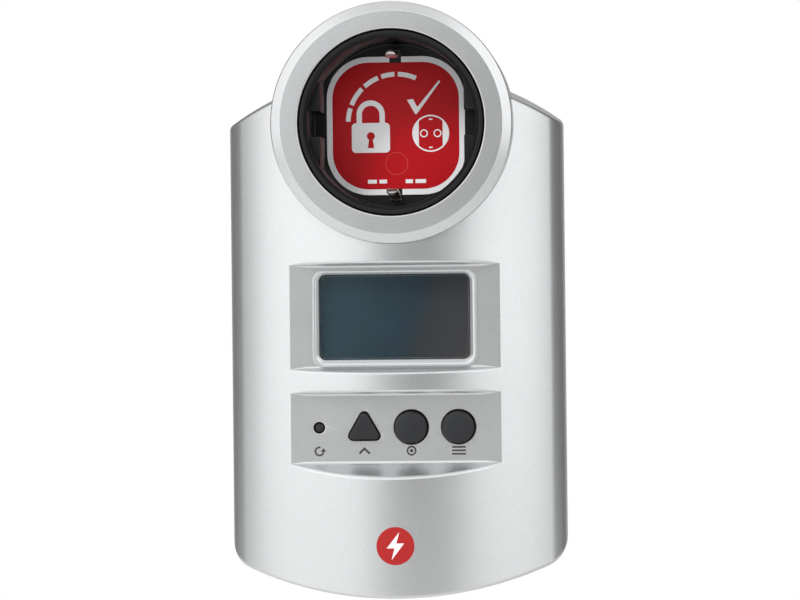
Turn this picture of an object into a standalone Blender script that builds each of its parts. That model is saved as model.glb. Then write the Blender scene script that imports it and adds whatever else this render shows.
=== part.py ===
"""Plug-in energy meter with a childproof earthed socket, as an assembly of separate pieces.

Frame: +Z up, the front faces -Y, and +Y points into the wall. The origin is the centre of the rear
plug's end face, the face that seats at the bottom of a wall socket. Lengths are in metres.
"""

import math

import bmesh
import bpy
from mathutils import Matrix, Vector

MM = 0.001

# Driving dimensions ---------------------------------------------------------------------------
PLUG_LENGTH = 17.6 * MM          # rear plug, from the housing's back to its end face
BODY_DEPTH = 41.6 * MM           # housing, from its back to the crown of the front
COLLAR_STAND = 1.4 * MM          # how far the socket collar stands in front of the crown
HALF_WIDTH = 39.3 * MM
BOTTOM_Z = -110.0 * MM           # lowest point of the housing, below the socket's axis
TOP_Z = 13.5 * MM                # crown of the housing's top arc, hidden by the collar
WALL = 2.2 * MM
GAP = 0.3 * MM                   # clearance between neighbouring pieces
SKIN = 0.05 * MM                 # under a label that is glued flat

FRONT_RADIUS = 62.5 * MM         # the front is part of an upright cylinder
FRONT_CORNER = 8.0 * MM
BOTTOM_RADIUS = 94.0 * MM
BOTTOM_CORNER = 7.0 * MM
TOP_RADIUS = 61.6 * MM
TOP_CORNER = 2.6 * MM
TOP_SLOPE = math.radians(10.4)   # the front shell's top leans down towards the front

COLLAR_RADIUS = 28.0 * MM
COLLAR_FACE_RADIUS = 25.8 * MM
COLLAR_SKIRT = 1.3 * MM          # depth of the cone round the collar's face
RIM_RADIUS = 21.3 * MM
RECESS_RADIUS = 19.5 * MM
RECESS_DEPTH = 17.7 * MM
RECESS_FLAT = 16.7 * MM          # half the distance between the recess's two flat sides
PIN_SPACING = 19.0 * MM
PIN_RADIUS = 2.4 * MM
PIN_LENGTH = 19.0 * MM
PIN_HOLE_RADIUS = 3.15 * MM
PLUG_RADIUS = 18.4 * MM

BACK_Y = -PLUG_LENGTH
CROWN_Y = BACK_Y - BODY_DEPTH
COLLAR_Y = CROWN_Y - COLLAR_STAND
PARTING_Y = -39.0 * MM           # where the two halves of the housing meet
PANEL_HALF_WIDTH = 24.5 * MM     # the flat panels are a chord of the front cylinder
PANEL_Y = CROWN_Y + FRONT_RADIUS - math.sqrt(FRONT_RADIUS**2 - PANEL_HALF_WIDTH**2)
RIM_Y = COLLAR_Y + 0.4 * MM
SOCKET_FACE_Y = RIM_Y + RECESS_DEPTH
FACE_BACK_Y = SOCKET_FACE_Y + 4.2 * MM
PIN_X = PIN_SPACING / 2

DISPLAY_Z = (-56.9 * MM, -32.7 * MM)     # bottom and top of the flat display panel
BUTTONS_Z = (-78.9 * MM, -62.5 * MM)
WINDOW_SIZE = (35.1 * MM, 19.8 * MM)
WINDOW_CORNER = 1.5 * MM
WINDOW_Z = -44.9 * MM
BUTTON_Z = -70.5 * MM
BUTTON_X = {"reset": -17.8 * MM, "up": -7.3 * MM, "set": 3.65 * MM, "func": 14.65 * MM}
ROUND_BUTTON_RADIUS = 3.72 * MM
BUTTON_STAND = 1.5 * MM
BUTTON_CLEARANCE = 0.3 * MM
RESET_HOLE_RADIUS = 1.35 * MM

EARTH_Z = 17.0 * MM              # middle of the earth strips' thickness
EARTH_NOSE_Z = 15.6 * MM
STRIP_THICKNESS = 0.8 * MM
STRIP_WIDTH = 2.6 * MM

DISPLAY_BOARD_Y = -45.1 * MM     # front face of the display board
MAIN_BOARD_Y = -24.0 * MM        # front face of the main board
BOARD_THICKNESS = 1.5 * MM
SCREW_PLACES = [(side * x * MM, z * MM) for x, z in ((32.5, -9.0), (30.0, -93.0)) for side in (-1, 1)]
DISPLAY_SCREWS = [(side * 26.0 * MM, z * MM) for z in (-36.0, -78.0) for side in (-1, 1)]
MAIN_SCREWS = [(side * 28.5 * MM, -35.0 * MM) for side in (-1, 1)]

ROUND = 48                       # sides of a large circle
SMALL_ROUND = 16

# Places clear of the whole object, where its cutters end
FAR_FRONT = -80.0 * MM
FAR_SIDE = 60.0 * MM
FAR_DOWN = -130.0 * MM


# Scene ----------------------------------------------------------------------------------------
def clear_scene():
    for obj in list(bpy.data.objects):
        bpy.data.objects.remove(obj, do_unlink=True)


def new_collection(name):
    collection = bpy.data.collections.new(name)
    bpy.context.scene.collection.children.link(collection)
    return collection


clear_scene()
PARTS = new_collection("energy_meter")
CUTTERS = new_collection("cutters")


def material(name, colour, roughness, metallic=0.0):
    made = bpy.data.materials.new(name)
    made.use_nodes = True
    shader = made.node_tree.nodes["Principled BSDF"]
    shader.inputs["Base Color"].default_value = (*colour, 1.0)
    shader.inputs["Roughness"].default_value = roughness
    shader.inputs["Metallic"].default_value = metallic
    return made


SILVER = material("silver_paint", (0.62, 0.63, 0.65), 0.35, 0.6)
GREY = material("grey_plastic", (0.42, 0.43, 0.45), 0.5)
BLACK = material("black_plastic", (0.02, 0.02, 0.022), 0.4)
KEY = material("key_rubber", (0.07, 0.07, 0.08), 0.6)
NICKEL = material("nickel", (0.72, 0.68, 0.6), 0.2, 1.0)
BRASS = material("brass", (0.7, 0.5, 0.2), 0.3, 1.0)
STEEL = material("zinc_steel", (0.6, 0.6, 0.58), 0.35, 1.0)
RED_PAPER = material("label_paper", (0.55, 0.01, 0.02), 0.5)
WHITE_PAPER = material("rating_paper", (0.8, 0.8, 0.78), 0.6)
CLEAR = material("window_clear", (0.05, 0.07, 0.08), 0.08)
LCD = material("lcd_glass", (0.05, 0.075, 0.085), 0.2)
BOARD = material("circuit_board", (0.02, 0.16, 0.06), 0.45)
ELASTOMER = material("elastomer", (0.75, 0.55, 0.6), 0.7)
WHITE_PLASTIC = material("white_plastic", (0.75, 0.74, 0.7), 0.5)
FILM = material("film_capacitor", (0.5, 0.5, 0.1), 0.4)
CAN = material("capacitor_can", (0.02, 0.03, 0.12), 0.3)
BLUE = material("blue_disc", (0.02, 0.08, 0.45), 0.35)
GLASS = material("fuse_glass", (0.7, 0.75, 0.75), 0.05)
EPOXY = material("chip_epoxy", (0.01, 0.01, 0.01), 0.3)
BATTERY = material("battery_sleeve", (0.05, 0.3, 0.12), 0.4)
BROWN_WIRE = material("brown_wire", (0.16, 0.06, 0.02), 0.45)
BLUE_WIRE = material("blue_wire", (0.02, 0.1, 0.5), 0.45)
RIBBON = material("ribbon", (0.45, 0.45, 0.47), 0.5)


# Modelling tools ------------------------------------------------------------------------------
# How an outline drawn in local X and Y stands in the world when it is extruded along each axis.
TURN = {
    "X": Matrix(((0, 0, 1), (1, 0, 0), (0, 1, 0))).to_4x4(),
    "Y": Matrix(((1, 0, 0), (0, 0, -1), (0, 1, 0))).to_4x4(),
    "Z": Matrix.Identity(4),
}
OUTWARD = {"X": 1, "Y": -1, "Z": 1}  # the way local +Z points along that axis
ALONG_X = Matrix.Rotation(math.pi / 2, 4, "Y")      # turns +Z to +X
ALONG_Y = Matrix.Rotation(-math.pi / 2, 4, "X")     # turns +Z to +Y


def add(name, mesh, look=None, at=(0, 0, 0), smooth_angle=30):
    """A part if it has a look, and otherwise a hidden cutter."""
    obj = bpy.data.objects.new(name, mesh)
    obj.location = at
    if look is None:
        CUTTERS.objects.link(obj)
        obj.hide_render = True
        obj.display_type = "WIRE"
    else:
        PARTS.objects.link(obj)
        mesh.materials.clear()
        mesh.materials.append(look)
        mesh.shade_smooth()
        mesh.set_sharp_from_angle(angle=math.radians(smooth_angle))
    bpy.context.view_layer.update()
    return obj


def mesh_from(name, bm):
    """The closed shape as a mesh, its faces turned outwards."""
    mesh = bpy.data.meshes.new(name)
    bmesh.ops.recalc_face_normals(bm, faces=bm.faces)
    if bm.calc_volume(signed=True) < 0:
        bmesh.ops.reverse_faces(bm, faces=bm.faces)
    bm.to_mesh(mesh)
    bm.free()
    return mesh


def mesh_of_curve(curve, matrix):
    """The curve's evaluated shape as a mesh in the world's directions, its caps welded."""
    guide = bpy.data.objects.new("guide", curve)
    bpy.context.scene.collection.objects.link(guide)
    bpy.context.view_layer.update()
    graph = bpy.context.evaluated_depsgraph_get()
    mesh = bpy.data.meshes.new_from_object(guide.evaluated_get(graph))
    bpy.data.objects.remove(guide, do_unlink=True)
    bm = bmesh.new()
    bm.from_mesh(mesh)
    bpy.data.meshes.remove(mesh)
    bm.transform(matrix)
    bmesh.ops.remove_doubles(bm, verts=bm.verts, dist=1e-6)
    return mesh_from(curve.name, bm)


def prism(name, outline, low, high, along="Y", look=None, at=(0, 0, 0)):
    """A closed outline extruded from low to high along an axis: in XZ for Y, in YZ for X, in XY for Z."""
    curve = bpy.data.curves.new(name, "CURVE")
    curve.dimensions = "2D"
    curve.fill_mode = "BOTH"
    curve.extrude = (high - low) / 2
    spline = curve.splines.new("POLY")
    spline.points.add(len(outline) - 1)
    for point, (u, v) in zip(spline.points, outline):
        point.co = (u, v, 0, 1)
    spline.use_cyclic_u = True
    lift = Matrix.Translation((0, 0, OUTWARD[along] * (low + high) / 2))
    return add(name, mesh_of_curve(curve, TURN[along] @ lift), look, at)


def box(name, low, high, look=None, at=(0, 0, 0), bevel=0.0):
    low, high = Vector(low), Vector(high)
    bm = bmesh.new()
    matrix = Matrix.Translation((low + high) / 2) @ Matrix.Diagonal((*(high - low), 1))
    bmesh.ops.create_cube(bm, size=1, matrix=matrix)
    obj = add(name, mesh_from(name, bm), look, at)
    if bevel:
        soften(obj, bevel)
    return obj


def rod(name, radius, low, high, along="Y", look=None, at=(0, 0, 0), sides=SMALL_ROUND, far_radius=None):
    """A cylinder, or a cone where far_radius differs, from low to high along an axis through at."""
    bm = bmesh.new()
    bmesh.ops.create_cone(
        bm, cap_ends=True, segments=sides, radius1=radius, radius2=far_radius or radius, depth=high - low
    )
    bm.transform(Matrix.Translation((0, 0, (low + high) / 2)))
    bm.transform({"X": ALONG_X, "Y": ALONG_Y, "Z": Matrix.Identity(4)}[along])
    return add(name, mesh_from(name, bm), look, at)


def turned(name, profile, look=None, at=(0, 0, 0), sides=ROUND, closed=True):
    """A profile of (radius, y) points turned about the Y axis. A closed profile makes a ring."""
    bm = bmesh.new()
    verts = [bm.verts.new((radius, 0, -y)) for radius, y in profile]
    for first, second in zip(verts, verts[1:] + verts[:1] if closed else verts[1:]):
        bm.edges.new((first, second))
    mesh = bpy.data.meshes.new(name)
    bm.to_mesh(mesh)
    bm.free()
    guide = bpy.data.objects.new("guide", mesh)
    bpy.context.scene.collection.objects.link(guide)
    screw = guide.modifiers.new("turn", "SCREW")
    screw.steps = screw.render_steps = sides
    screw.use_merge_vertices = True
    screw.merge_threshold = 1e-5
    bpy.context.view_layer.update()
    graph = bpy.context.evaluated_depsgraph_get()
    made = bpy.data.meshes.new_from_object(guide.evaluated_get(graph))
    bpy.data.objects.remove(guide, do_unlink=True)
    bm = bmesh.new()
    bm.from_mesh(made)
    bpy.data.meshes.remove(made)
    bm.transform(Matrix.Rotation(math.pi / 2, 4, "X"))
    bmesh.ops.remove_doubles(bm, verts=bm.verts, dist=1e-6)
    return add(name, mesh_from(name, bm), look, at)


def tube(name, points, radius, look, resolution=2):
    """A round wire along points, with filled caps."""
    curve = bpy.data.curves.new(name, "CURVE")
    curve.dimensions = "3D"
    curve.bevel_depth = radius
    curve.bevel_resolution = resolution
    curve.use_fill_caps = True
    spline = curve.splines.new("POLY")
    spline.points.add(len(points) - 1)
    for point, place in zip(spline.points, points):
        point.co = (*place, 1)
    obj = bpy.data.objects.new(name, curve)
    curve.materials.append(look)
    PARTS.objects.link(obj)
    return obj


def boolean(obj, tool, operation):
    modifier = obj.modifiers.new(f"{operation.lower()}_{tool.name}", "BOOLEAN")
    modifier.operation = operation
    modifier.object = tool
    return obj


def cut(obj, *tools):
    for tool in tools:
        boolean(obj, tool, "DIFFERENCE")
    return obj


def join(obj, *tools):
    for tool in tools:
        boolean(obj, tool, "UNION")
    return obj


def keep_inside(obj, tool):
    return boolean(obj, tool, "INTERSECT")


def soften(obj, width, segments=2, angle=40):
    bevel = obj.modifiers.new("soft_edges", "BEVEL")
    bevel.width = width
    bevel.segments = segments
    bevel.limit_method = "ANGLE"
    bevel.angle_limit = math.radians(angle)
    return obj


# Outlines -------------------------------------------------------------------------------------
def arc(centre, radius, start, end, steps):
    """Points on an arc, both ends included, angles in radians."""
    turns = [start + (end - start) * i / steps for i in range(steps + 1)]
    return [(centre[0] + radius * math.cos(t), centre[1] + radius * math.sin(t)) for t in turns]


def crowned(half_width, crown_radius, corner_radius, steps, corner_steps):
    """A crown and its two corners from left to right, about the crown's centre, with the crown at +v."""
    reach = math.sqrt((crown_radius - corner_radius) ** 2 - (half_width - corner_radius) ** 2)
    corner = (half_width - corner_radius, reach)
    meeting = math.atan2(corner[1], corner[0])
    right = arc(corner, corner_radius, meeting, 0, corner_steps)[1:]
    left = [(-u, v) for u, v in reversed(right)]
    return left + arc((0, 0), crown_radius, math.pi - meeting, meeting, steps) + right


def top_arc(inset=0.0):
    """The housing's top edge and its two corners, from left to right."""
    edge = crowned(HALF_WIDTH - inset, TOP_RADIUS - inset, max(TOP_CORNER - inset, 0.4 * MM), 16, 3)
    return [(x, TOP_Z - TOP_RADIUS + v) for x, v in edge]


def bottom_arc(inset=0.0):
    """The housing's bottom edge and its two corners, from right to left."""
    edge = crowned(HALF_WIDTH - inset, BOTTOM_RADIUS - inset, BOTTOM_CORNER - inset, 16, 5)
    return [(-x, BOTTOM_Z + BOTTOM_RADIUS - v) for x, v in edge]


def body_outline(inset=0.0):
    """The housing seen from the front, as XZ points."""
    return top_arc(inset) + bottom_arc(inset)


def front_profile(inset=0.0, back=PARTING_Y):
    """The housing's front seen from above, as XY points, closed at the back."""
    edge = crowned(HALF_WIDTH - inset, FRONT_RADIUS - inset, FRONT_CORNER - inset, 21, 6)
    front = [(x, CROWN_Y + FRONT_RADIUS - v) for x, v in edge]
    return [(-HALF_WIDTH + inset, back), *front, (HALF_WIDTH - inset, back)]


def rounded_rectangle(width, height, radius, steps=4, centre=(0, 0)):
    points = []
    for sign_u, sign_v, start in ((1, 1, 0), (-1, 1, 1), (-1, -1, 2), (1, -1, 3)):
        corner = (centre[0] + sign_u * (width / 2 - radius), centre[1] + sign_v * (height / 2 - radius))
        points += arc(corner, radius, start * math.pi / 2, (start + 1) * math.pi / 2, steps)
    return points


def rounded_triangle(circumradius, radius, steps=4):
    """An equilateral triangle that points up, with rounded corners, centred on its middle."""
    points = []
    for index in range(3):
        direction = math.pi / 2 + index * 2 * math.pi / 3
        distance = circumradius - 2 * radius
        corner = (distance * math.cos(direction), distance * math.sin(direction))
        points += arc(corner, radius, direction - math.pi / 3, direction + math.pi / 3, steps)
    return points


def band(route, thickness):
    """The outline of a strip of even thickness along a flat route, with mitred bends."""
    points = [Vector(place) for place in route]
    sides = [Vector((a.y - b.y, b.x - a.x)).normalized() for a, b in zip(points, points[1:])]
    sides = [sides[0], *sides, sides[-1]]
    offsets = [(n + m) * (thickness / 2 / (1 + n.dot(m))) for n, m in zip(sides, sides[1:])]
    left = [tuple(point + offset) for point, offset in zip(points, offsets)]
    right = [tuple(point - offset) for point, offset in zip(points, offsets)]
    return left + right[::-1]


# Front shell ----------------------------------------------------------------------------------
FLOOR_BACK_Y = PANEL_Y + WALL
LIP_DRAFT = 1.0 * MM             # lean of the steep recess walls, from panel to crown
LENS_DRAFT = 3.1 * MM            # lean of the sloping wall under the buttons
BEZEL_SIZE = (38.2 * MM, 22.7 * MM)
BEZEL_CORNER = 2.8 * MM
BEZEL_Z = -45.3 * MM
BEZEL_STAND = 0.8 * MM
UP_HOLE_RADIUS = 4.98 * MM       # centre to corner of the triangle before rounding
UP_CORNER = 1.1 * MM
UP_DROP = 0.9 * MM               # from the row's middle down to the triangle's


def above_top_arc(name, inset=0.0):
    """All that lies above the front shell's top, which leans down towards the front."""
    edge = top_arc(inset - SKIN)
    left, right = edge[0][0], edge[-1][0]
    low = -8 * MM
    outline = edge + [(right, low), (FAR_SIDE, low), (FAR_SIDE, FAR_SIDE), (-FAR_SIDE, FAR_SIDE)]
    outline += [(-FAR_SIDE, low), (left, low)]
    tool = prism(name, outline, -FAR_SIDE, FAR_SIDE / 2)
    tool.location = (0, PARTING_Y, 0)
    tool.rotation_euler = (TOP_SLOPE, 0, 0)
    return tool


def open_topped(name, inset, front, back):
    """The housing's outline with straight sides that run on past its top."""
    x = HALF_WIDTH - inset
    return prism(name, [(-x, 30 * MM), (x, 30 * MM), *bottom_arc(inset)], front, back)


def panel_recess(name, bottom, top, bottom_draft, top_draft):
    """The space in front of a flat panel. Its top and bottom walls lean outwards towards the front."""
    depth = PANEL_Y - CROWN_Y
    reach = 3 * depth
    outline = [
        (PANEL_Y, bottom),
        (PANEL_Y, top),
        (PANEL_Y - reach, top + top_draft * reach / depth),
        (PANEL_Y - reach, bottom - bottom_draft * reach / depth),
    ]
    side = PANEL_HALF_WIDTH + 3 * MM
    return prism(name, outline, -side, side, along="X")


def window_funnel():
    """The window opening: a funnel inside the bezel, open to the back."""
    front_y, back_y = PANEL_Y - BEZEL_STAND - 0.4 * MM, PANEL_Y + 0.3 * MM
    growth = 1.085
    bm = bmesh.new()
    corner = math.sqrt(2) / 2
    bmesh.ops.create_cone(
        bm, cap_ends=True, segments=4, radius1=corner * growth, radius2=corner, depth=back_y - front_y
    )
    bm.transform(Matrix.Rotation(-math.pi / 2, 4, "X") @ Matrix.Rotation(math.pi / 4, 4, "Z"))
    bm.transform(Matrix.Diagonal((WINDOW_SIZE[0], 1, WINDOW_SIZE[1], 1)))
    slanted = [e for e in bm.edges if abs(e.verts[0].co.y - e.verts[1].co.y) > 0.1 * MM]
    bmesh.ops.bevel(bm, geom=slanted, offset=WINDOW_CORNER, segments=4, affect="EDGES", profile=0.5)
    funnel = add("window_funnel", mesh_from("window_funnel", bm), at=(0, (front_y + back_y) / 2, WINDOW_Z))
    opening = rounded_rectangle(*WINDOW_SIZE, WINDOW_CORNER, centre=(0, WINDOW_Z))
    through = prism("window_through", opening, back_y - 0.1 * MM, FLOOR_BACK_Y + 2 * MM)
    return funnel, through


def front_cavity():
    """The hollow of the front shell, with a flat step behind the two panels."""
    cavity = prism("front_cavity", front_profile(WALL, PARTING_Y + 4 * MM), FAR_DOWN, 26 * MM, along="Z")
    keep_inside(cavity, open_topped("front_cavity_outline", WALL, FAR_FRONT, 0))
    step_low = (-PANEL_HALF_WIDTH - 3 * MM, FAR_FRONT, BUTTONS_Z[0] - LENS_DRAFT - WALL)
    step_high = (PANEL_HALF_WIDTH + 3 * MM, FLOOR_BACK_Y, DISPLAY_Z[1] + LIP_DRAFT + 1.2 * MM)
    return cut(cavity, box("panel_step", step_low, step_high), above_top_arc("cavity_top", WALL))


def front_surface(x):
    """The y of the cylindrical front at a distance x from the middle."""
    return CROWN_Y + FRONT_RADIUS - math.sqrt(FRONT_RADIUS**2 - x**2)


def front_boss(name, x, z, radius, hole, margin, back):
    """A screw boss that stands on the inside of the front, and its pilot hole."""
    front_y = front_surface(abs(x) + radius) + margin
    boss = rod(f"{name}_boss", radius, front_y, back, at=(x, 0, z))
    pilot = rod(f"{name}_pilot", hole, front_y + 1.2 * MM, back + 1 * MM, at=(x, 0, z), sides=12)
    return boss, pilot


def front_bosses():
    for index, (x, z) in enumerate(SCREW_PLACES, 1):
        yield front_boss(f"housing_{index}", x, z, 3.0 * MM, 1.6 * MM, 0.9 * MM, PARTING_Y)
    for index, (x, z) in enumerate(DISPLAY_SCREWS, 1):
        yield front_boss(f"display_{index}", x, z, 2.2 * MM, 1.2 * MM, 0.4 * MM, DISPLAY_BOARD_Y - GAP)


def front_shell():
    shell = prism("front_shell", front_profile(), FAR_DOWN, 25 * MM, along="Z", look=SILVER)
    keep_inside(shell, open_topped("front_outline", 0, FAR_FRONT, PARTING_Y + 10 * MM))
    cut(shell, above_top_arc("front_top"), front_cavity())
    bezel_outline = rounded_rectangle(*BEZEL_SIZE, BEZEL_CORNER, centre=(0, BEZEL_Z))
    bezel = prism("bezel", bezel_outline, PANEL_Y - BEZEL_STAND, PANEL_Y + 1 * MM)
    cut(
        shell,
        panel_recess("display_recess", *DISPLAY_Z, LIP_DRAFT, LIP_DRAFT),
        panel_recess("button_recess", *BUTTONS_Z, LENS_DRAFT, LIP_DRAFT),
    )
    join(shell, bezel)
    cut(shell, *window_funnel(), rod("collar_bite", COLLAR_RADIUS + GAP, FAR_FRONT, 10 * MM, sides=ROUND))
    for name in ("set", "func"):
        radius = ROUND_BUTTON_RADIUS + BUTTON_CLEARANCE
        at = (BUTTON_X[name], PANEL_Y, BUTTON_Z)
        cut(shell, rod(f"{name}_hole", radius, -4 * MM, 6 * MM, at=at, sides=24))
    at = (BUTTON_X["up"], PANEL_Y, BUTTON_Z - UP_DROP)
    cut(shell, prism("up_hole", rounded_triangle(UP_HOLE_RADIUS, UP_CORNER), -4 * MM, 6 * MM, at=at))
    at = (BUTTON_X["reset"], PANEL_Y, BUTTON_Z)
    cut(shell, rod("reset_hole", RESET_HOLE_RADIUS, -4 * MM, 6 * MM, at=at, sides=16))
    for boss, pilot in front_bosses():
        join(shell, boss)
        cut(shell, pilot)
    return shell


# Rear shell -----------------------------------------------------------------------------------
TAPER_CENTRE_Z = -48.0 * MM
TAPER = (0.945, 0.965)           # width and height of the back against the parting line
LOBE_BACK_RADIUS = 27.0 * MM
REAR_EDGE = 1.6 * MM
PLUG_HOLE_RADIUS = PLUG_RADIUS + 0.4 * MM
RATING_POCKET = (44.6 * MM, 30.6 * MM)
RATING_CORNER = 2.0 * MM
RATING_Z = -62.0 * MM


def tapered_body(name, inset, front, back, look=None, edge=0.0):
    """The housing's outline from front to back, drawn in towards the back by TAPER."""
    obj = prism(name, body_outline(inset), front, back, look=look)
    bm = bmesh.new()
    bm.from_mesh(obj.data)
    far = [v for v in bm.verts if v.co.y > back - 0.01 * MM]
    middle = Matrix.Translation((0, 0, -TAPER_CENTRE_Z))
    bmesh.ops.scale(bm, vec=(TAPER[0], 1, TAPER[1]), space=middle, verts=far)
    if edge:
        rim = [e for e in bm.edges if all(v in far for v in e.verts) and e.calc_face_angle() > math.pi / 4]
        bmesh.ops.bevel(bm, geom=rim, offset=edge, segments=2, affect="EDGES", profile=0.5)
    bm.to_mesh(obj.data)
    bm.free()
    return obj


def rear_shell():
    front = PARTING_Y + 0.05 * MM
    shell = tapered_body("rear_shell", 0, front, BACK_Y, look=GREY, edge=REAR_EDGE)
    lobe = rod("rear_lobe", COLLAR_RADIUS, front, BACK_Y, sides=ROUND, far_radius=LOBE_BACK_RADIUS)
    soften(lobe, REAR_EDGE, 2)
    cavity = tapered_body("rear_cavity", WALL, front - 3 * MM, BACK_Y - WALL)
    inner_lobe = rod("rear_inner_lobe", COLLAR_RADIUS - WALL, front - 3 * MM, BACK_Y - WALL, sides=ROUND,
                     far_radius=LOBE_BACK_RADIUS - WALL)
    join(cavity, inner_lobe)
    join(shell, lobe)
    cut(shell, cavity, rod("plug_hole", PLUG_HOLE_RADIUS, -30 * MM, 0, sides=ROUND))
    for index, (x, z) in enumerate(SCREW_PLACES, 1):
        at = (x, 0, z)
        post = rod(f"rear_post_{index}", 3.6 * MM, PARTING_Y + GAP, BACK_Y - 1 * MM, at=at)
        passage = rod(f"rear_passage_{index}", 1.7 * MM, PARTING_Y, BACK_Y + 1 * MM, at=at, sides=12)
        sink = rod(f"rear_sink_{index}", 3.0 * MM, BACK_Y - 4 * MM, BACK_Y + 1 * MM, at=at)
        join(shell, post)
        cut(shell, passage, sink)
    for index, (x, z) in enumerate(MAIN_SCREWS, 1):
        front, at = MAIN_BOARD_Y + BOARD_THICKNESS + GAP, (x, 0, z)
        join(shell, rod(f"board_stand_{index}", 2.6 * MM, front, BACK_Y - 1 * MM, at=at))
        cut(shell, rod(f"board_pilot_{index}", 1.3 * MM, front - 1 * MM, front + 2.8 * MM, at=at, sides=12))
    pocket = rounded_rectangle(*RATING_POCKET, RATING_CORNER + GAP, 3, (0, RATING_Z))
    return cut(shell, prism("rating_pocket", pocket, BACK_Y - GAP, BACK_Y + 1 * MM))


def rating_label():
    """A sheet glued into the shallow pocket on the back."""
    width, height = RATING_POCKET
    outline = rounded_rectangle(width - 2 * GAP, height - 2 * GAP, RATING_CORNER, 3, (0, RATING_Z))
    return prism("rating_label", outline, BACK_Y - GAP + SKIN, BACK_Y - SKIN, look=WHITE_PAPER)


# Socket ---------------------------------------------------------------------------------------
def socket_collar():
    """The silver ring: a flat face, a cone round it, and a tube that reaches back to the rear shell."""
    flange_y = COLLAR_Y + 2.2 * MM
    inner = COLLAR_RADIUS - WALL
    back = PARTING_Y - GAP
    profile = [
        (COLLAR_FACE_RADIUS, COLLAR_Y),
        (COLLAR_RADIUS, COLLAR_Y + COLLAR_SKIRT),
        (COLLAR_RADIUS, back),
        (inner, back),
        (inner, flange_y + 0.6 * MM),
        (inner - 0.8 * MM, flange_y),
        (RIM_RADIUS + GAP, flange_y),
        (RIM_RADIUS + GAP, COLLAR_Y + 0.3 * MM),
        (RIM_RADIUS + 0.6 * MM, COLLAR_Y),
    ]
    return turned("socket_collar", profile, SILVER)


LAND_FRONT_Y = COLLAR_Y + 4.4 * MM
NOTCH_HALF = 2.95 * MM
THROUGH_FACE = (SOCKET_FACE_Y - 8 * MM, FACE_BACK_Y + 8 * MM)
STRIP_SLOT = (1.7 * MM, 16.2 * MM, 18.4 * MM)   # half width, lower and upper edge


def socket_insert():
    """The black cup: round recess, a flat on either side with a notch, pin holes and earth slots."""
    flange_y = FACE_BACK_Y - 2.4 * MM
    profile = [
        (0, SOCKET_FACE_Y),
        (RECESS_RADIUS, SOCKET_FACE_Y),
        (RECESS_RADIUS, RIM_Y + 1.0 * MM),
        (RECESS_RADIUS + 0.9 * MM, RIM_Y),
        (RIM_RADIUS - 0.4 * MM, RIM_Y),
        (RIM_RADIUS, RIM_Y + 0.4 * MM),
        (RIM_RADIUS, flange_y),
        (RIM_RADIUS + 3.2 * MM, flange_y),
        (RIM_RADIUS + 3.2 * MM, FACE_BACK_Y),
        (0, FACE_BACK_Y),
    ]
    insert = turned("socket_insert", profile, BLACK, closed=False)
    lands = rod("recess_lands", RECESS_RADIUS + 0.8 * MM, LAND_FRONT_Y, SOCKET_FACE_Y + 1 * MM, sides=ROUND)
    between = box("between_lands", (-RECESS_FLAT, -1, -1), (RECESS_FLAT, 1, 1))
    cut(lands, between)
    join(insert, lands)
    for side in (-1, 1):
        near, far = sorted((side * 14 * MM, side * 19.2 * MM))
        notch = box(f"notch_{side}", (near, FAR_FRONT, -NOTCH_HALF), (far, SOCKET_FACE_Y, NOTCH_HALF))
        hole = rod(f"pin_hole_{side}", PIN_HOLE_RADIUS, *THROUGH_FACE, at=(side * PIN_X, 0, 0), sides=24)
        half, low, high = STRIP_SLOT
        bottom, top = sorted((side * low, side * high))
        slot = box(f"strip_slot_{side}", (-half, THROUGH_FACE[0], bottom), (half, THROUGH_FACE[1], top))
        cut(insert, notch, hole, slot)
    return insert


BLOCK_FRONT_Y = FACE_BACK_Y + 3.0 * MM
BLOCK_BACK_Y = -25.5 * MM
BLOCK_HALF = (16.0 * MM, 14.0 * MM)
BLOCK_BODY_HALF = 7.0 * MM
SHUTTER_TRAVEL = 7.0 * MM
SHUTTER_HALF_WIDTH = 13.0 * MM
SPRING_TOP_Z = 12.0 * MM
SPRING_SEAT_Z = -6.0 * MM


def contact_block():
    """Insulating block behind the socket face: holds both contacts and guides the shutter."""
    plate_low = (-BLOCK_HALF[0], BLOCK_FRONT_Y, -BLOCK_HALF[1])
    plate_high = (BLOCK_HALF[0], BLOCK_FRONT_Y + 1.6 * MM, BLOCK_HALF[1])
    block = box("contact_block", plate_low, plate_high, WHITE_PLASTIC)
    body_low = (-BLOCK_HALF[0], BLOCK_FRONT_Y + 1 * MM, -BLOCK_BODY_HALF)
    join(block, box("block_body", body_low, (BLOCK_HALF[0], BLOCK_BACK_Y, BLOCK_BODY_HALF)))
    for side in (-1, 1):
        near, far = sorted((side * (SHUTTER_HALF_WIDTH + GAP), side * BLOCK_HALF[0]))
        rail_low = (near, FACE_BACK_Y + GAP, -BLOCK_HALF[1])
        rail = box(f"shutter_rail_{side}", rail_low, (far, BLOCK_FRONT_Y + 0.5 * MM, BLOCK_HALF[1]))
        join(block, rail)
        cavity_low = (side * PIN_X - 3.6 * MM, BLOCK_FRONT_Y - 1 * MM, -4.2 * MM)
        cavity_high = (side * PIN_X + 3.6 * MM, BLOCK_BACK_Y + 1 * MM, 4.2 * MM)
        cut(block, box(f"contact_cavity_{side}", cavity_low, cavity_high))
    stop_low = (-2.2 * MM, FACE_BACK_Y + GAP, SPRING_TOP_Z)
    stop_high = (2.2 * MM, BLOCK_FRONT_Y + 0.5 * MM, BLOCK_HALF[1])
    return join(block, box("spring_stop", stop_low, stop_high))


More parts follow.
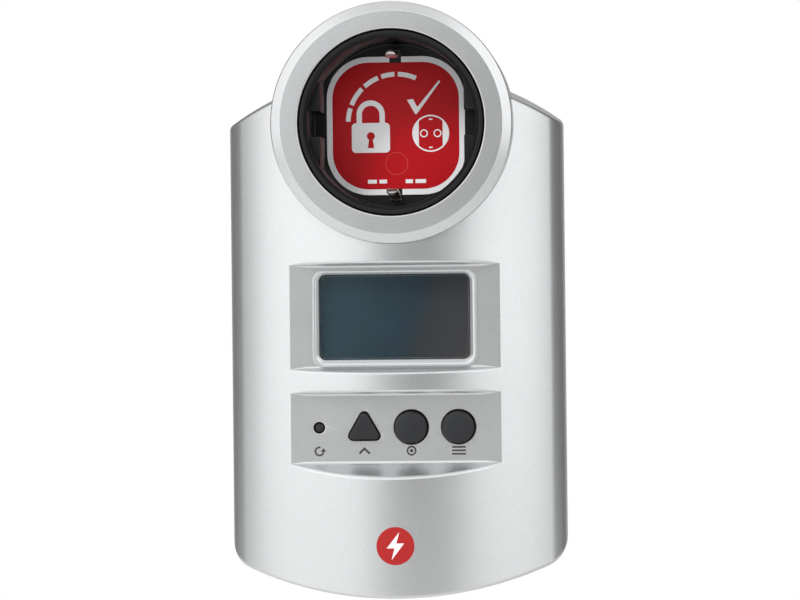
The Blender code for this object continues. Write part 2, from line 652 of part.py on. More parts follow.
def shutter():
    """A plate over both pin holes. Raised by SHUTTER_TRAVEL, its own two holes let the pins through."""
    front, back = FACE_BACK_Y + GAP, BLOCK_FRONT_Y - GAP
    low = (-SHUTTER_HALF_WIDTH, front, -11.0 * MM)
    plate = box("shutter", low, (SHUTTER_HALF_WIDTH, back, 3.9 * MM), WHITE_PLASTIC)
    for side in (-1, 1):
        at = (side * PIN_X, 0, -SHUTTER_TRAVEL)
        ends = (front - 1 * MM, back + 1 * MM)
        cut(plate, rod(f"shutter_hole_{side}", PIN_HOLE_RADIUS, *ends, at=at, sides=20))
        ramp = box(f"shutter_ramp_{side}", (-3.0 * MM, 0, 0), (3.0 * MM, 3 * MM, 4 * MM))
        ramp.location = (side * PIN_X, front - 2.6 * MM, 0.9 * MM)
        ramp.rotation_euler = (math.radians(35), 0, 0)
        cut(plate, ramp)
    slot_low = (-2.2 * MM, front - 1 * MM, SPRING_SEAT_Z)
    return cut(plate, box("spring_slot", slot_low, (2.2 * MM, back + 1 * MM, 10 * MM)))


def shutter_spring():
    """A compression spring between the shutter's slot and the block's stop."""
    turns, steps, wire, coil = 8, 10, 0.17 * MM, 0.85 * MM
    low, high = SPRING_SEAT_Z + GAP + wire, SPRING_TOP_Z - GAP - wire
    middle_y = (FACE_BACK_Y + BLOCK_FRONT_Y) / 2
    points = []
    for step in range(turns * steps + 1):
        turn = 2 * math.pi * step / steps
        rise = low + (high - low) * step / (turns * steps)
        points.append((coil * math.cos(turn), middle_y + coil * math.sin(turn), rise))
    return tube("shutter_spring", points, wire, STEEL, resolution=1)


CONTACT_BASE_Y = (BLOCK_BACK_Y + 0.3 * MM, BLOCK_BACK_Y + 1.1 * MM)
CONTACT_HALF_GAP = 2.3 * MM


def socket_contact(name, x):
    """A forked female contact: a base plate and two spring leaves, one above and one below the pin."""
    leaf, half_gap = 0.8 * MM, CONTACT_HALF_GAP
    tip = BLOCK_FRONT_Y + 0.7 * MM
    base_front, base_back = CONTACT_BASE_Y
    upper = [
        (tip, half_gap + 0.7 * MM),
        (tip + 1.8 * MM, half_gap),
        (base_front - 2.5 * MM, half_gap + 0.4 * MM),
        (base_front, half_gap + 0.4 * MM),
    ]
    outer = [
        (base_back, half_gap + leaf + 0.4 * MM),
        (tip + 1.8 * MM, half_gap + leaf),
        (tip, half_gap + leaf + 0.7 * MM),
    ]
    section = upper[::-1] + outer[::-1]
    outline = section + [(y, -z) for y, z in reversed(section)]
    return prism(name, outline, -2.5 * MM, 2.5 * MM, along="X", look=BRASS, at=(x, 0, 0))


PIN_TAIL_Y = -23.2 * MM


def plug_pin(name, x):
    """A solid round pin, rounded at its tip, that passes through the rear plug."""
    tip = PIN_LENGTH
    rounding = [(PIN_RADIUS * math.cos(t), tip - PIN_RADIUS * 0.8 + PIN_RADIUS * 0.8 * math.sin(t))
                for t in (i * math.pi / 8 for i in range(4))]
    profile = [(0, PIN_TAIL_Y), (PIN_RADIUS, PIN_TAIL_Y), *rounding, (0, tip)]
    return turned(name, profile[::-1], NICKEL, at=(x, 0, 0), sides=20, closed=False)


def earth_strip(name, side):
    """A sprung nose in the recess, and a straight run back to the plug's own earth groove."""
    route = [
        (COLLAR_Y + 2.4 * MM, EARTH_NOSE_Z + 1.1 * MM),
        (COLLAR_Y + 3.4 * MM, EARTH_NOSE_Z + 0.15 * MM),
        (COLLAR_Y + 5.0 * MM, EARTH_NOSE_Z),
        (COLLAR_Y + 7.0 * MM, EARTH_NOSE_Z + 0.25 * MM),
        (SOCKET_FACE_Y - 3.0 * MM, EARTH_Z),
        (-3.0 * MM, EARTH_Z),
        (-1.2 * MM, EARTH_Z - 1.0 * MM),
    ]
    outline = band([(y, side * z) for y, z in route], STRIP_THICKNESS)
    return prism(name, outline, -STRIP_WIDTH / 2, STRIP_WIDTH / 2, along="X", look=NICKEL)


def plug_body():
    """The black rear plug: a flange inside the housing and a round body with flats, ribs and grooves."""
    flange_y = BACK_Y - WALL - GAP
    profile = [
        (0, 0),
        (PLUG_RADIUS - 0.8 * MM, 0),
        (PLUG_RADIUS, -0.8 * MM),
        (PLUG_RADIUS, flange_y),
        (PLUG_RADIUS + 2.8 * MM, flange_y),
        (PLUG_RADIUS + 2.8 * MM, flange_y - 1.5 * MM),
        (0, flange_y - 1.5 * MM),
    ]
    plug = turned("plug_body", profile[::-1], BLACK, closed=False)
    for side in (-1, 1):
        near, far = sorted((side * 16.3 * MM, side * 24 * MM))
        flat = box(f"plug_flat_{side}", (near, BACK_Y + 0.6 * MM, -30 * MM), (far, 5 * MM, 30 * MM))
        near, far = sorted((side * 15 * MM, side * 18.2 * MM))
        rib = box(f"plug_rib_{side}", (near, BACK_Y + 0.3 * MM, -2.5 * MM), (far, -0.6 * MM, 2.5 * MM))
        cut(plug, flat)
        join(plug, rib)
        bore = rod(f"plug_bore_{side}", PIN_RADIUS + 0.2 * MM, -30 * MM, 5 * MM, at=(side * PIN_X, 0, 0))
        bottom, top = sorted((side * 14.9 * MM, side * 30 * MM))
        half = STRIP_WIDTH / 2 + GAP
        groove = box(f"earth_groove_{side}", (-half, -30 * MM, bottom), (half, -0.6 * MM, top))
        cut(plug, bore, groove)
    return plug


def earth_bridge():
    """The strap that joins the two earth strips behind the contact block."""
    reach = EARTH_Z - STRIP_THICKNESS / 2 - GAP
    return box("earth_bridge", (-3 * MM, -22.7 * MM, -reach), (3 * MM, -21.9 * MM, reach), NICKEL)


LABEL_SIZE = 32.5 * MM
LABEL_CORNER = 9.9 * MM
LABEL_THICKNESS = 0.25 * MM
LABEL_NOTCH = (1.7 * MM, 1.5 * MM)              # half width and depth, under each earth clip


def socket_label():
    """The red label over the pin holes, notched so that it lifts out past the earth clips."""
    at = (0, SOCKET_FACE_Y - SKIN, 0)
    outline = rounded_rectangle(LABEL_SIZE, LABEL_SIZE, LABEL_CORNER, 6)
    label = prism("socket_label", outline, -LABEL_THICKNESS, 0, look=RED_PAPER, at=at)
    half, depth = LABEL_NOTCH
    for side in (-1, 1):
        bottom, top = sorted((side * (LABEL_SIZE / 2 - depth), side * LABEL_SIZE))
        cut(label, box(f"label_notch_{side}", (-half, -1 * MM, bottom), (half, 1 * MM, top), at=at))
    return label


# Display and keys -----------------------------------------------------------------------------
LCD_HALF = (20.0 * MM, 12.0 * MM)
LCD_FRAME = 1.8 * MM             # how far the frame stands out round the glass
TACT_HALF = 3.0 * MM


def display_stack():
    width, height = WINDOW_SIZE
    clear = rounded_rectangle(width - 2 * GAP, height - 2 * GAP, 1.2 * MM, centre=(0, WINDOW_Z))
    prism("window_lens", clear, PANEL_Y + 0.9 * MM, PANEL_Y + 1.9 * MM, look=CLEAR)
    front, back = FLOOR_BACK_Y + GAP, DISPLAY_BOARD_Y - GAP
    glass_back = front + 2.6 * MM
    at = (0, 0, WINDOW_Z)
    half_x, half_z = LCD_HALF
    box("lcd_glass", (-half_x, front, -half_z), (half_x, glass_back, half_z), LCD, at=at)
    frame_x, frame_z = half_x + LCD_FRAME, half_z + LCD_FRAME
    frame = box("lcd_frame", (-frame_x, front, -frame_z), (frame_x, back, frame_z), WHITE_PLASTIC, at=at)
    inner_x, inner_z = half_x + GAP, half_z + GAP
    cut(frame, box("lcd_well", (-inner_x, FAR_FRONT, -inner_z), (inner_x, back + 1 * MM, inner_z), at=at))
    for name, side in (("zebra_strip_top", 1), ("zebra_strip_bottom", -1)):
        at = (0, 0, WINDOW_Z + side * 10.4 * MM)
        box(name, (-18 * MM, glass_back + GAP, -1 * MM), (18 * MM, back, 1 * MM), ELASTOMER, at=at)


def screw(name, place, head, shank, length, facing=1):
    """A cross-head screw. place is the top of its head, which faces +Y or, with facing -1, -Y."""
    (radius, height), depth = head, 0.6
    profile = [
        (0, 0),
        (radius * 0.7, 0),
        (radius, height * 0.5),
        (radius, height),
        (shank, height),
        (shank, height + length - shank),
        (shank * 0.5, height + length),
        (0, height + length),
    ]
    obj = turned(name, [(r, -facing * y) for r, y in profile], STEEL, at=place, sides=14, closed=False)
    long, short = radius * 0.5, 0.35 * MM
    front, back = sorted((-facing * height * depth, facing * height))
    for turn, (half_x, half_z) in enumerate(((long, short), (short, long))):
        cross = box(f"{name}_cross_{turn}", (-half_x, front, -half_z), (half_x, back, half_z), at=place)
        cut(obj, cross)
    return obj


def display_board():
    outline = rounded_rectangle(58 * MM, 53.5 * MM, 1.5 * MM, 2, (0, -57.2 * MM))
    board = prism("display_board", outline, DISPLAY_BOARD_Y, DISPLAY_BOARD_Y + BOARD_THICKNESS, look=BOARD)
    for index, (x, z) in enumerate(DISPLAY_SCREWS, 1):
        cut(board, rod(f"display_screw_hole_{index}", 1.3 * MM, -60 * MM, -30 * MM, at=(x, 0, z), sides=12))
    return board


def main_board():
    """The mains board, narrower at its lower end, where the housing's screw posts stand."""
    wide, narrow, top, bottom = 32 * MM, 25 * MM, -31 * MM, -99 * MM
    half = [(narrow, bottom), (narrow, -88 * MM), (wide, -86 * MM), (wide, top)]
    outline = half + [(-x, z) for x, z in reversed(half)]
    board = prism("main_board", outline, MAIN_BOARD_Y, MAIN_BOARD_Y + BOARD_THICKNESS, look=BOARD)
    for index, (x, z) in enumerate(MAIN_SCREWS, 1):
        cut(board, rod(f"main_screw_hole_{index}", 1.4 * MM, -40 * MM, -10 * MM, at=(x, 0, z), sides=12))
    return board


TACT_BODY_Y = (DISPLAY_BOARD_Y - 3.3 * MM, DISPLAY_BOARD_Y - 0.2 * MM)
PLUNGER_FRONT_Y = TACT_BODY_Y[0] - 1.1 * MM
KEY_TRAVEL = 0.5 * MM
FLANGE_Y = (FLOOR_BACK_Y + GAP, FLOOR_BACK_Y + 1.0 * MM)


def tact_switch(name, x):
    """A push switch on the display board: a square case with a round plunger in its well."""
    at = (x, 0, BUTTON_Z)
    (front, back), half, well_back = TACT_BODY_Y, TACT_HALF, TACT_BODY_Y[1] - 0.8 * MM
    case = box(f"{name}_switch", (-half, front, -half), (half, back, half), EPOXY, at=at)
    cut(case, rod(f"{name}_switch_well", 1.9 * MM, front - 1 * MM, well_back, at=at))
    plunger_back = well_back - KEY_TRAVEL - 0.2 * MM
    rod(f"{name}_plunger", 1.6 * MM, PLUNGER_FRONT_Y, plunger_back, look=WHITE_PLASTIC, at=at, sides=12)


def round_key(name):
    """A round key cap with a domed face, a flange behind the panel and a stem to its switch."""
    radius, front = ROUND_BUTTON_RADIUS, PANEL_Y - BUTTON_STAND
    profile = [
        (0, front - 0.15 * MM),
        (radius * 0.7, front),
        (radius - 0.45 * MM, front + 0.12 * MM),
        (radius, front + 0.55 * MM),
        (radius, FLANGE_Y[0]),
        (radius + 1.0 * MM, FLANGE_Y[0]),
        (radius + 1.0 * MM, FLANGE_Y[1]),
        (1.3 * MM, FLANGE_Y[1]),
        (1.3 * MM, PLUNGER_FRONT_Y - 0.1 * MM),
        (0, PLUNGER_FRONT_Y - 0.1 * MM),
    ]
    return turned(f"{name}_key", profile, KEY, at=(BUTTON_X[name], 0, BUTTON_Z), sides=24, closed=False)


def triangle_key():
    """The triangular key cap, on a round flange and stem."""
    at = (BUTTON_X["up"], 0, BUTTON_Z)
    corners = rounded_triangle(UP_HOLE_RADIUS - 2 * BUTTON_CLEARANCE, UP_CORNER - 0.25 * MM)
    outline = [(u, v - UP_DROP) for u, v in corners]
    back = FLANGE_Y[1] - 0.2 * MM
    key = prism("up_key", outline, PANEL_Y - BUTTON_STAND, back, look=KEY, at=at)
    flange = rod("up_flange", 4.6 * MM, *FLANGE_Y, at=at, sides=20)
    return join(key, flange, rod("up_stem", 1.3 * MM, back, PLUNGER_FRONT_Y - 0.1 * MM, at=at))


def reset_key():
    """The reset pin sits below its small hole and is pressed with a pen tip."""
    at = (BUTTON_X["reset"], 0, BUTTON_Z)
    profile = [
        (0, PANEL_Y + 0.5 * MM),
        (RESET_HOLE_RADIUS - 0.3 * MM, PANEL_Y + 0.6 * MM),
        (RESET_HOLE_RADIUS - 0.3 * MM, FLANGE_Y[0]),
        (2.4 * MM, FLANGE_Y[0]),
        (2.4 * MM, FLANGE_Y[1]),
        (1.1 * MM, FLANGE_Y[1]),
        (1.1 * MM, PLUNGER_FRONT_Y - 0.1 * MM),
        (0, PLUNGER_FRONT_Y - 0.1 * MM),
    ]
    return turned("reset_key", profile, KEY, at=at, sides=16, closed=False)


# Electronics ----------------------------------------------------------------------------------
def smooth_route(points, steps=5):
    """Catmull-Rom points along a wire's route."""
    route = [Vector(p) for p in points]
    padded = [2 * route[0] - route[1], *route, 2 * route[-1] - route[-2]]
    made = []
    for a, b, c, d in zip(padded, padded[1:], padded[2:], padded[3:]):
        for step in range(steps):
            t = step / steps
            made.append(0.5 * (2 * b + (c - a) * t + (2 * a - 5 * b + 4 * c - d) * t**2
                               + (3 * b - a - 3 * c + d) * t**3))
    return [*made, route[-1]]


def lying_can(name, radius, half_length, look, at, sides=SMALL_ROUND):
    """A round component that lies along X."""
    return rod(name, radius, -half_length, half_length, along="X", look=look, at=at, sides=sides)


def electronics():
    face = MAIN_BOARD_Y - 0.2 * MM
    box("film_capacitor", (-9 * MM, -13 * MM, -4.5 * MM), (9 * MM, 0, 4.5 * MM), FILM,
        at=(-15 * MM, face, -55.5 * MM), bevel=0.6 * MM)
    rod("smoothing_capacitor", 5 * MM, -13 * MM, 0, look=CAN, at=(18 * MM, face, -62 * MM), sides=20)
    rod("surge_varistor", 6 * MM, -2.2 * MM, 2.2 * MM, along="Z", look=BLUE,
        at=(-16 * MM, face - 6.2 * MM, -72 * MM), sides=20)
    lying_can("input_fuse", 2.6 * MM, 10 * MM, GLASS, (-2 * MM, face - 3 * MM, -41 * MM), 14)
    lying_can("backup_battery", 5.8 * MM, 8 * MM, BATTERY, (8 * MM, face - 6.2 * MM, -85 * MM), 20)
    stand, slope = 6 * MM, 2 * MM
    half = [(6 * MM, 0), (6 * MM, -stand), (6 * MM - slope, -stand - slope)]
    shunt = band([(-x, y) for x, y in half] + half[::-1], 1.0 * MM)
    prism("current_shunt", shunt, -2 * MM, 2 * MM, along="Z", look=NICKEL, at=(20 * MM, face, -47 * MM))
    back = DISPLAY_BOARD_Y + BOARD_THICKNESS + 0.2 * MM
    chip_radii = (6 * MM, 4.6 * MM)
    rod("meter_chip", chip_radii[0], 0, 1.6 * MM, look=EPOXY, at=(0, back, -56 * MM), sides=24,
        far_radius=chip_radii[1])
    lying_can("quartz_crystal", 1.5 * MM, 4 * MM, STEEL, (14 * MM, back + 1.6 * MM, -50 * MM), 12)


def ribbon_cable():
    """A flat cable that hangs from the display board's back and turns in to the main board."""
    start, end = DISPLAY_BOARD_Y + 2.2 * MM, MAIN_BOARD_Y - GAP
    low = -94.0 * MM
    bend = [(start, low + 4 * MM), (start + 1.2 * MM, low + 1.2 * MM), (start + 4 * MM, low)]
    route = [(start, -79 * MM), *bend, (end, low)]
    return prism("ribbon_cable", band(route, 0.9 * MM), -6 * MM, 6 * MM, along="X", look=RIBBON)


def wires():
    """Insulated leads: line pin to shunt, shunt to line contact, and the neutral contact to the board."""
    board, tail, contact = MAIN_BOARD_Y / MM - 1.5, PIN_TAIL_Y / MM - 0.2, (-28.0, -8.6)
    routes = {
        "line_in_wire": [(13.4, tail, 0), (14.2, tail, -9), (15.0, -24.6, -20), (14.0, -27.0, -29),
                         (12.2, -26.6, -38), (11.6, board, -46)],
        "line_out_wire": [(9.5, *contact), (11.0, -30.0, -15), (17.0, -32.0, -27), (25.0, -31.0, -36),
                          (28.2, -27.5, -42), (28.4, board, -47)],
        "neutral_wire": [(-9.5, *contact), (-11.0, -30.0, -15), (-16.0, -30.5, -27), (-21.0, -28.5, -37),
                         (-22.0, board, -46)],
    }
    for name, route in routes.items():
        look = BLUE_WIRE if name == "neutral_wire" else BROWN_WIRE
        tube(name, smooth_route([Vector(place) * MM for place in route]), 1.1 * MM, look)


# Assembly -------------------------------------------------------------------------------------
def screws():
    for index, (x, z) in enumerate(SCREW_PLACES, 1):
        place = (x, BACK_Y - 1.8 * MM, z)
        screw(f"housing_screw_{index}", place, (2.6 * MM, 1.9 * MM), 1.3 * MM, 20.5 * MM)
    for index, (x, z) in enumerate(DISPLAY_SCREWS, 1):
        place = (x, DISPLAY_BOARD_Y + BOARD_THICKNESS + GAP + 1.2 * MM, z)
        screw(f"display_screw_{index}", place, (1.9 * MM, 1.2 * MM), 1.0 * MM, 4.8 * MM)
    for index, (x, z) in enumerate(MAIN_SCREWS, 1):
        place = (x, MAIN_BOARD_Y - GAP - 1.4 * MM, z)
        screw(f"main_screw_{index}", place, (2.3 * MM, 1.4 * MM), 1.1 * MM, 3.8 * MM, facing=-1)


def build():
    front_shell()
    rear_shell()
    socket_collar()
    socket_insert()
    contact_block()
    shutter()
    shutter_spring()
    socket_contact("neutral_contact", -PIN_X)
    socket_contact("line_contact", PIN_X)
    plug_pin("neutral_pin", -PIN_X)
    plug_pin("line_pin", PIN_X)
    earth_strip("earth_strip_top", 1)
    earth_strip("earth_strip_bottom", -1)
    earth_bridge()
    plug_body()
    socket_label()
    display_stack()
    display_board()
    main_board()
    for name, x in BUTTON_X.items():
        tact_switch(name, x)
    round_key("set")
    round_key("func")
    triangle_key()
    reset_key()
    electronics()
    ribbon_cable()
    wires()
    screws()
    rating_label()


build()
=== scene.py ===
"""Looks of the plug-in energy meter: fine versions of the pieces that show, finishes for all of them, a
floor, soft light and the camera. Lengths are in metres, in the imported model's own frame: +Z up, the front
faces -Y, and the origin is the centre of the rear plug's end face.
"""

from math import acos, asin, atan2, copysign, cos, pi, radians, sin, sqrt, tan

import bmesh
import bpy
from mathutils import Matrix, Vector


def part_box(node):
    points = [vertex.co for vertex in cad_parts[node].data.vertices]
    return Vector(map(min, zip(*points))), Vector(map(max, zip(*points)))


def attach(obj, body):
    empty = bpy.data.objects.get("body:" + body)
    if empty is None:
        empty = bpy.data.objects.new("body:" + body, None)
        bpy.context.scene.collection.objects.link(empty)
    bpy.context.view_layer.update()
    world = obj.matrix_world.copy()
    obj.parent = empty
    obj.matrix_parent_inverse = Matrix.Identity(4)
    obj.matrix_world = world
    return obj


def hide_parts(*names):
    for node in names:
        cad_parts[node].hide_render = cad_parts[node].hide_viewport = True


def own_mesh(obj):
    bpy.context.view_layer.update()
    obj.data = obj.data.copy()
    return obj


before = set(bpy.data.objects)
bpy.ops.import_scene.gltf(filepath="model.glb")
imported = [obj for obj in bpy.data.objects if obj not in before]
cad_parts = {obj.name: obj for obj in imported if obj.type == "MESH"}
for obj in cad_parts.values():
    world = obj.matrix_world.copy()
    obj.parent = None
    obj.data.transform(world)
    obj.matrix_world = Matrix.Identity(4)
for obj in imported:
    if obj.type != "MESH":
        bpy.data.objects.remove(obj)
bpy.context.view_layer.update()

MM = 0.001

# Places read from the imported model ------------
FRONT_LOW, FRONT_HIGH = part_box("front_shell")
COLLAR_LOW, COLLAR_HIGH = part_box("socket_collar")
REAR_LOW, REAR_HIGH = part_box("rear_shell")
LABEL_LOW, LABEL_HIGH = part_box("socket_label")
LENS_LOW, LENS_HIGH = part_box("window_lens")
PLUG_LOW, PLUG_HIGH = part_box("plug_body")
KEY_STEM_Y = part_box("set_plunger")[0].y - 0.1 * MM
STRIP_LOW, STRIP_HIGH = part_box("earth_strip_top")
PIN_LOW, PIN_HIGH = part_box("line_pin")
RATING_LOW, RATING_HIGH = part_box("rating_label")

CROWN_Y, PARTING_Y = FRONT_LOW.y, FRONT_HIGH.y
HALF_WIDTH, BOTTOM_Z = FRONT_HIGH.x, FRONT_LOW.z
BACK_Y = REAR_HIGH.y
COLLAR_Y, COLLAR_RADIUS = COLLAR_LOW.y, COLLAR_HIGH.x
SOCKET_FACE_Y = LABEL_HIGH.y + 0.05 * MM
FACE_BACK_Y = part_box("socket_insert")[1].y

# Driving dimensions that the boxes don't give ------------
WALL = 2.2 * MM
FRONT_RADIUS = 62.5 * MM
FRONT_CORNER = 8.0 * MM
BOTTOM_RADIUS = 94.0 * MM
BOTTOM_CORNER = 7.0 * MM
TOP_Z = 13.5 * MM
TOP_RADIUS = 66.0 * MM
TOP_CORNER = 2.2 * MM
TOP_SLOPE = radians(7.3)
PANEL_HALF_WIDTH = 24.5 * MM
FRONT_CENTRE_Y = CROWN_Y + FRONT_RADIUS
PANEL_Y = FRONT_CENTRE_Y - sqrt(FRONT_RADIUS**2 - PANEL_HALF_WIDTH**2)
PANEL_DEPTH = PANEL_Y - CROWN_Y
RIM_RADIUS = 21.3 * MM
RECESS_RADIUS = 19.5 * MM
SMOOTH_ANGLE = radians(35)      # an edge that turns further stays sharp


# Meshes ------------
class Skin:
    """A mesh that is sewn together from points. Points in the same place share one vertex."""

    NEAR = 1e-7

    def __init__(self):
        self.bm = bmesh.new()
        self.found = {}

    def vert(self, place):
        key = tuple(round(c / self.NEAR) for c in place)
        if key not in self.found:
            self.found[key] = self.bm.verts.new(place)
        return self.found[key]

    def face(self, places):
        corners = []
        for place in places:
            vert = self.vert(place)
            if vert not in corners:
                corners.append(vert)
        if len(corners) > 2 and not self.bm.faces.get(corners):
            self.bm.faces.new(corners)

    def strips(self, rows):
        """Quads between rows of points, each of them a closed loop."""
        for first, second in zip(rows, rows[1:]):
            for i in range(len(first)):
                j = (i + 1) % len(first)
                self.face((first[i], first[j], second[j], second[i]))

    def fill(self, *loops):
        """Triangles over the flat area between closed loops of points, such as a plate and its holes."""
        edges = []
        for loop in loops:
            for a, b in zip(loop, loop[1:] + loop[:1]):
                ends = (self.vert(a), self.vert(b))
                if ends[0] is not ends[1]:
                    edges.append(self.bm.edges.get(ends) or self.bm.edges.new(ends))
        bmesh.ops.triangle_fill(self.bm, use_beauty=True, edges=list(dict.fromkeys(edges)))

    def object(self, name, smooth_angle=SMOOTH_ANGLE):
        return mesh_object(name, self.bm, smooth_angle)


def solid(name, rows, smooth_angle=SMOOTH_ANGLE):
    """A closed solid from loops of points, its ends filled."""
    skin = Skin()
    skin.strips(rows)
    skin.fill(rows[0])
    skin.fill(rows[-1])
    return skin.object(name, smooth_angle)


def placed(name, data):
    """A new object in the scene."""
    obj = bpy.data.objects.new(name, data)
    bpy.context.scene.collection.objects.link(obj)
    return obj


def mesh_object(name, bm, smooth_angle=SMOOTH_ANGLE):
    """Turns a bmesh into an object with its faces outwards."""
    bmesh.ops.recalc_face_normals(bm, faces=bm.faces)
    if bm.calc_volume(signed=True) < 0:
        bmesh.ops.reverse_faces(bm, faces=bm.faces)
    mesh = bpy.data.meshes.new(name)
    bm.to_mesh(mesh)
    bm.free()
    mesh.shade_smooth()
    mesh.set_sharp_from_angle(angle=smooth_angle)
    return placed(name, mesh)


def boolean(obj, tools, operation="DIFFERENCE"):
    """Cuts the tools out of obj, or joins them to it, for good. The tools are used up."""
    for tool in tools:
        modifier = obj.modifiers.new(operation, "BOOLEAN")
        modifier.operation, modifier.solver = operation, "MANIFOLD"
        modifier.object = tool
    bpy.context.view_layer.update()
    graph = bpy.context.evaluated_depsgraph_get()
    made = bpy.data.meshes.new_from_object(obj.evaluated_get(graph))
    obj.modifiers.clear()
    old, obj.data = obj.data, made
    bpy.data.meshes.remove(old)
    for tool in tools:
        bpy.data.objects.remove(tool, do_unlink=True)
    return obj


def reshade(obj):
    """Smooths the shading again after a boolean."""
    obj.data.shade_smooth()
    obj.data.set_sharp_from_angle(angle=SMOOTH_ANGLE)
    return obj


# Outlines ------------
def arc(centre, radius, start, end, steps):
    """Points on an arc, both ends included, angles in radians."""
    turns = [start + (end - start) * i / steps for i in range(steps + 1)]
    return [(centre[0] + radius * cos(t), centre[1] + radius * sin(t)) for t in turns]


def filleted(corners, steps=5, closed=False):
    """Points along a line whose corners (u, v, radius) are rounded. A corner without a radius is sharp."""
    made, last = [], len(corners) - 1
    for i, (u, v, *radius) in enumerate(corners):
        here = Vector((u, v))
        if not radius or (not closed and i in (0, last)):
            made.append((u, v))
            continue
        before = Vector(corners[i - 1][:2]) - here
        after = Vector(corners[(i + 1) % len(corners)][:2]) - here
        half = before.angle(after) / 2
        reach = min(radius[0] / tan(half), 0.49 * before.length, 0.49 * after.length)
        towards = (before.normalized() + after.normalized()).normalized()
        centre = here + towards * (reach / cos(half))
        first = here + before.normalized() * reach - centre
        second = here + after.normalized() * reach - centre
        start = atan2(first.y, first.x)
        turn = (atan2(second.y, second.x) - start + pi) % (2 * pi) - pi
        made += arc(centre, first.length, start, start + turn, steps)
    return made


def rounding(steps):
    """At each step over a quarter round, how far it has come in and how much of its rise is left, as shares
    of its radius."""
    turns = [step / steps * pi / 2 for step in range(steps + 1)]
    return [(1 - cos(t), 1 - sin(t)) for t in turns]


def bend(start, corner, end, steps):
    """Points on a curve from start to end that is drawn towards corner."""
    shares = [i / steps for i in range(steps + 1)]
    return [start * (1 - t) ** 2 + corner * (2 * t * (1 - t)) + end * t**2 for t in shares]


def rounded_rectangle(width, height, radius, centre=(0, 0), steps=6):
    points = []
    for sign_u, sign_v, start in ((1, 1, 0), (-1, 1, 1), (-1, -1, 2), (1, -1, 3)):
        corner = (centre[0] + sign_u * (width / 2 - radius), centre[1] + sign_v * (height / 2 - radius))
        points += arc(corner, radius, start * pi / 2, (start + 1) * pi / 2, steps)
    return points


def rounded_triangle(circumradius, radius, centre=(0, 0), steps=6):
    """An equilateral triangle that points up, with rounded corners."""
    points = []
    for index in range(3):
        direction = pi / 2 + index * 2 * pi / 3
        distance = circumradius - 2 * radius
        corner = (centre[0] + distance * cos(direction), centre[1] + distance * sin(direction))
        points += arc(corner, radius, direction - pi / 3, direction + pi / 3, steps)
    return points


def circle(radius, centre=(0, 0), steps=48):
    return arc(centre, radius, 0, 2 * pi, steps)[:-1]


def standing(outline, y):
    """An outline drawn in X and Z, at a depth y."""
    return [(x, y, z) for x, z in outline]


def crown_height(x, half_width, crown, corner):
    """How high a crowned outline with rounded corners is at x, above its crown's centre."""
    corner_x = half_width - corner
    if abs(x) <= corner_x * crown / (crown - corner):
        return sqrt(crown**2 - x**2)
    reach = sqrt((crown - corner) ** 2 - corner_x**2)
    return reach + sqrt(max(corner**2 - (abs(x) - corner_x) ** 2, 0))


def crowned(half_width, crown, corner, steps, corner_steps):
    """A crown and its two corners from left to right, about the crown's centre."""
    reach = sqrt((crown - corner) ** 2 - (half_width - corner) ** 2)
    middle = (half_width - corner, reach)
    meeting = atan2(middle[1], middle[0])
    right = arc(middle, corner, meeting, 0, corner_steps)[1:]
    left = [(-u, v) for u, v in reversed(right)]
    return left + arc((0, 0), crown, pi - meeting, meeting, steps) + right


def body_outline(inset):
    """The housing seen from the front, as XZ points."""
    half = HALF_WIDTH - inset
    top = crowned(half, TOP_RADIUS - inset, TOP_CORNER - inset, 60, 8)
    bottom = crowned(half, BOTTOM_RADIUS - inset, BOTTOM_CORNER - inset, 60, 12)
    upper = [(x, TOP_Z - TOP_RADIUS + v) for x, v in top]
    return upper + [(-x, BOTTOM_Z + BOTTOM_RADIUS - v) for x, v in bottom]


# Solids ------------
def lathe(name, corners, at=(0, 0, 0), sides=96, steps=5, closed=False):
    """A profile of (radius, y) points turned about an axis along Y. A corner may have a rounding's radius as
    well, and a closed profile ends where it starts."""
    skin, middle = Skin(), Vector(at)

    def ring(radius, y):
        return [tuple(middle + Vector((u, y, v))) for u, v in circle(radius, steps=sides)]

    rows = [ring(max(radius, 0.0), y) for radius, y in filleted(corners, steps, closed)]
    if closed:
        rows.append(rows[0])
    skin.strips(rows)
    return skin.object(name)


def plate(name, outline, low, high, edge=0.0):
    """An outline in XZ extruded from low to high in Y, its front edge softened by edge."""
    rows = [standing(outline, low)]
    if edge:
        rows = [standing(shrunk(outline, edge * inward), low + edge * back) for inward, back in rounding(4)]
    return solid(name, [standing(outline, high), *rows])


def shrunk(outline, distance):
    """A closed outline moved inwards by a distance, along its own corners' bisectors."""
    count = len(outline)
    points = [Vector(p) for p in outline]
    area = sum(a.x * b.y - b.x * a.y for a, b in zip(points, points[1:] + points[:1]))
    side = copysign(1, area)
    made = []
    for i, here in enumerate(points):
        before = (here - points[i - 1]).normalized()
        after = (points[(i + 1) % count] - here).normalized()
        normal = Vector((-(before + after).y, (before + after).x)).normalized() * side
        stretch = max(sqrt((1 + before.dot(after)) / 2), 0.5)
        made.append(tuple(here + normal * (distance / stretch)))
    return made


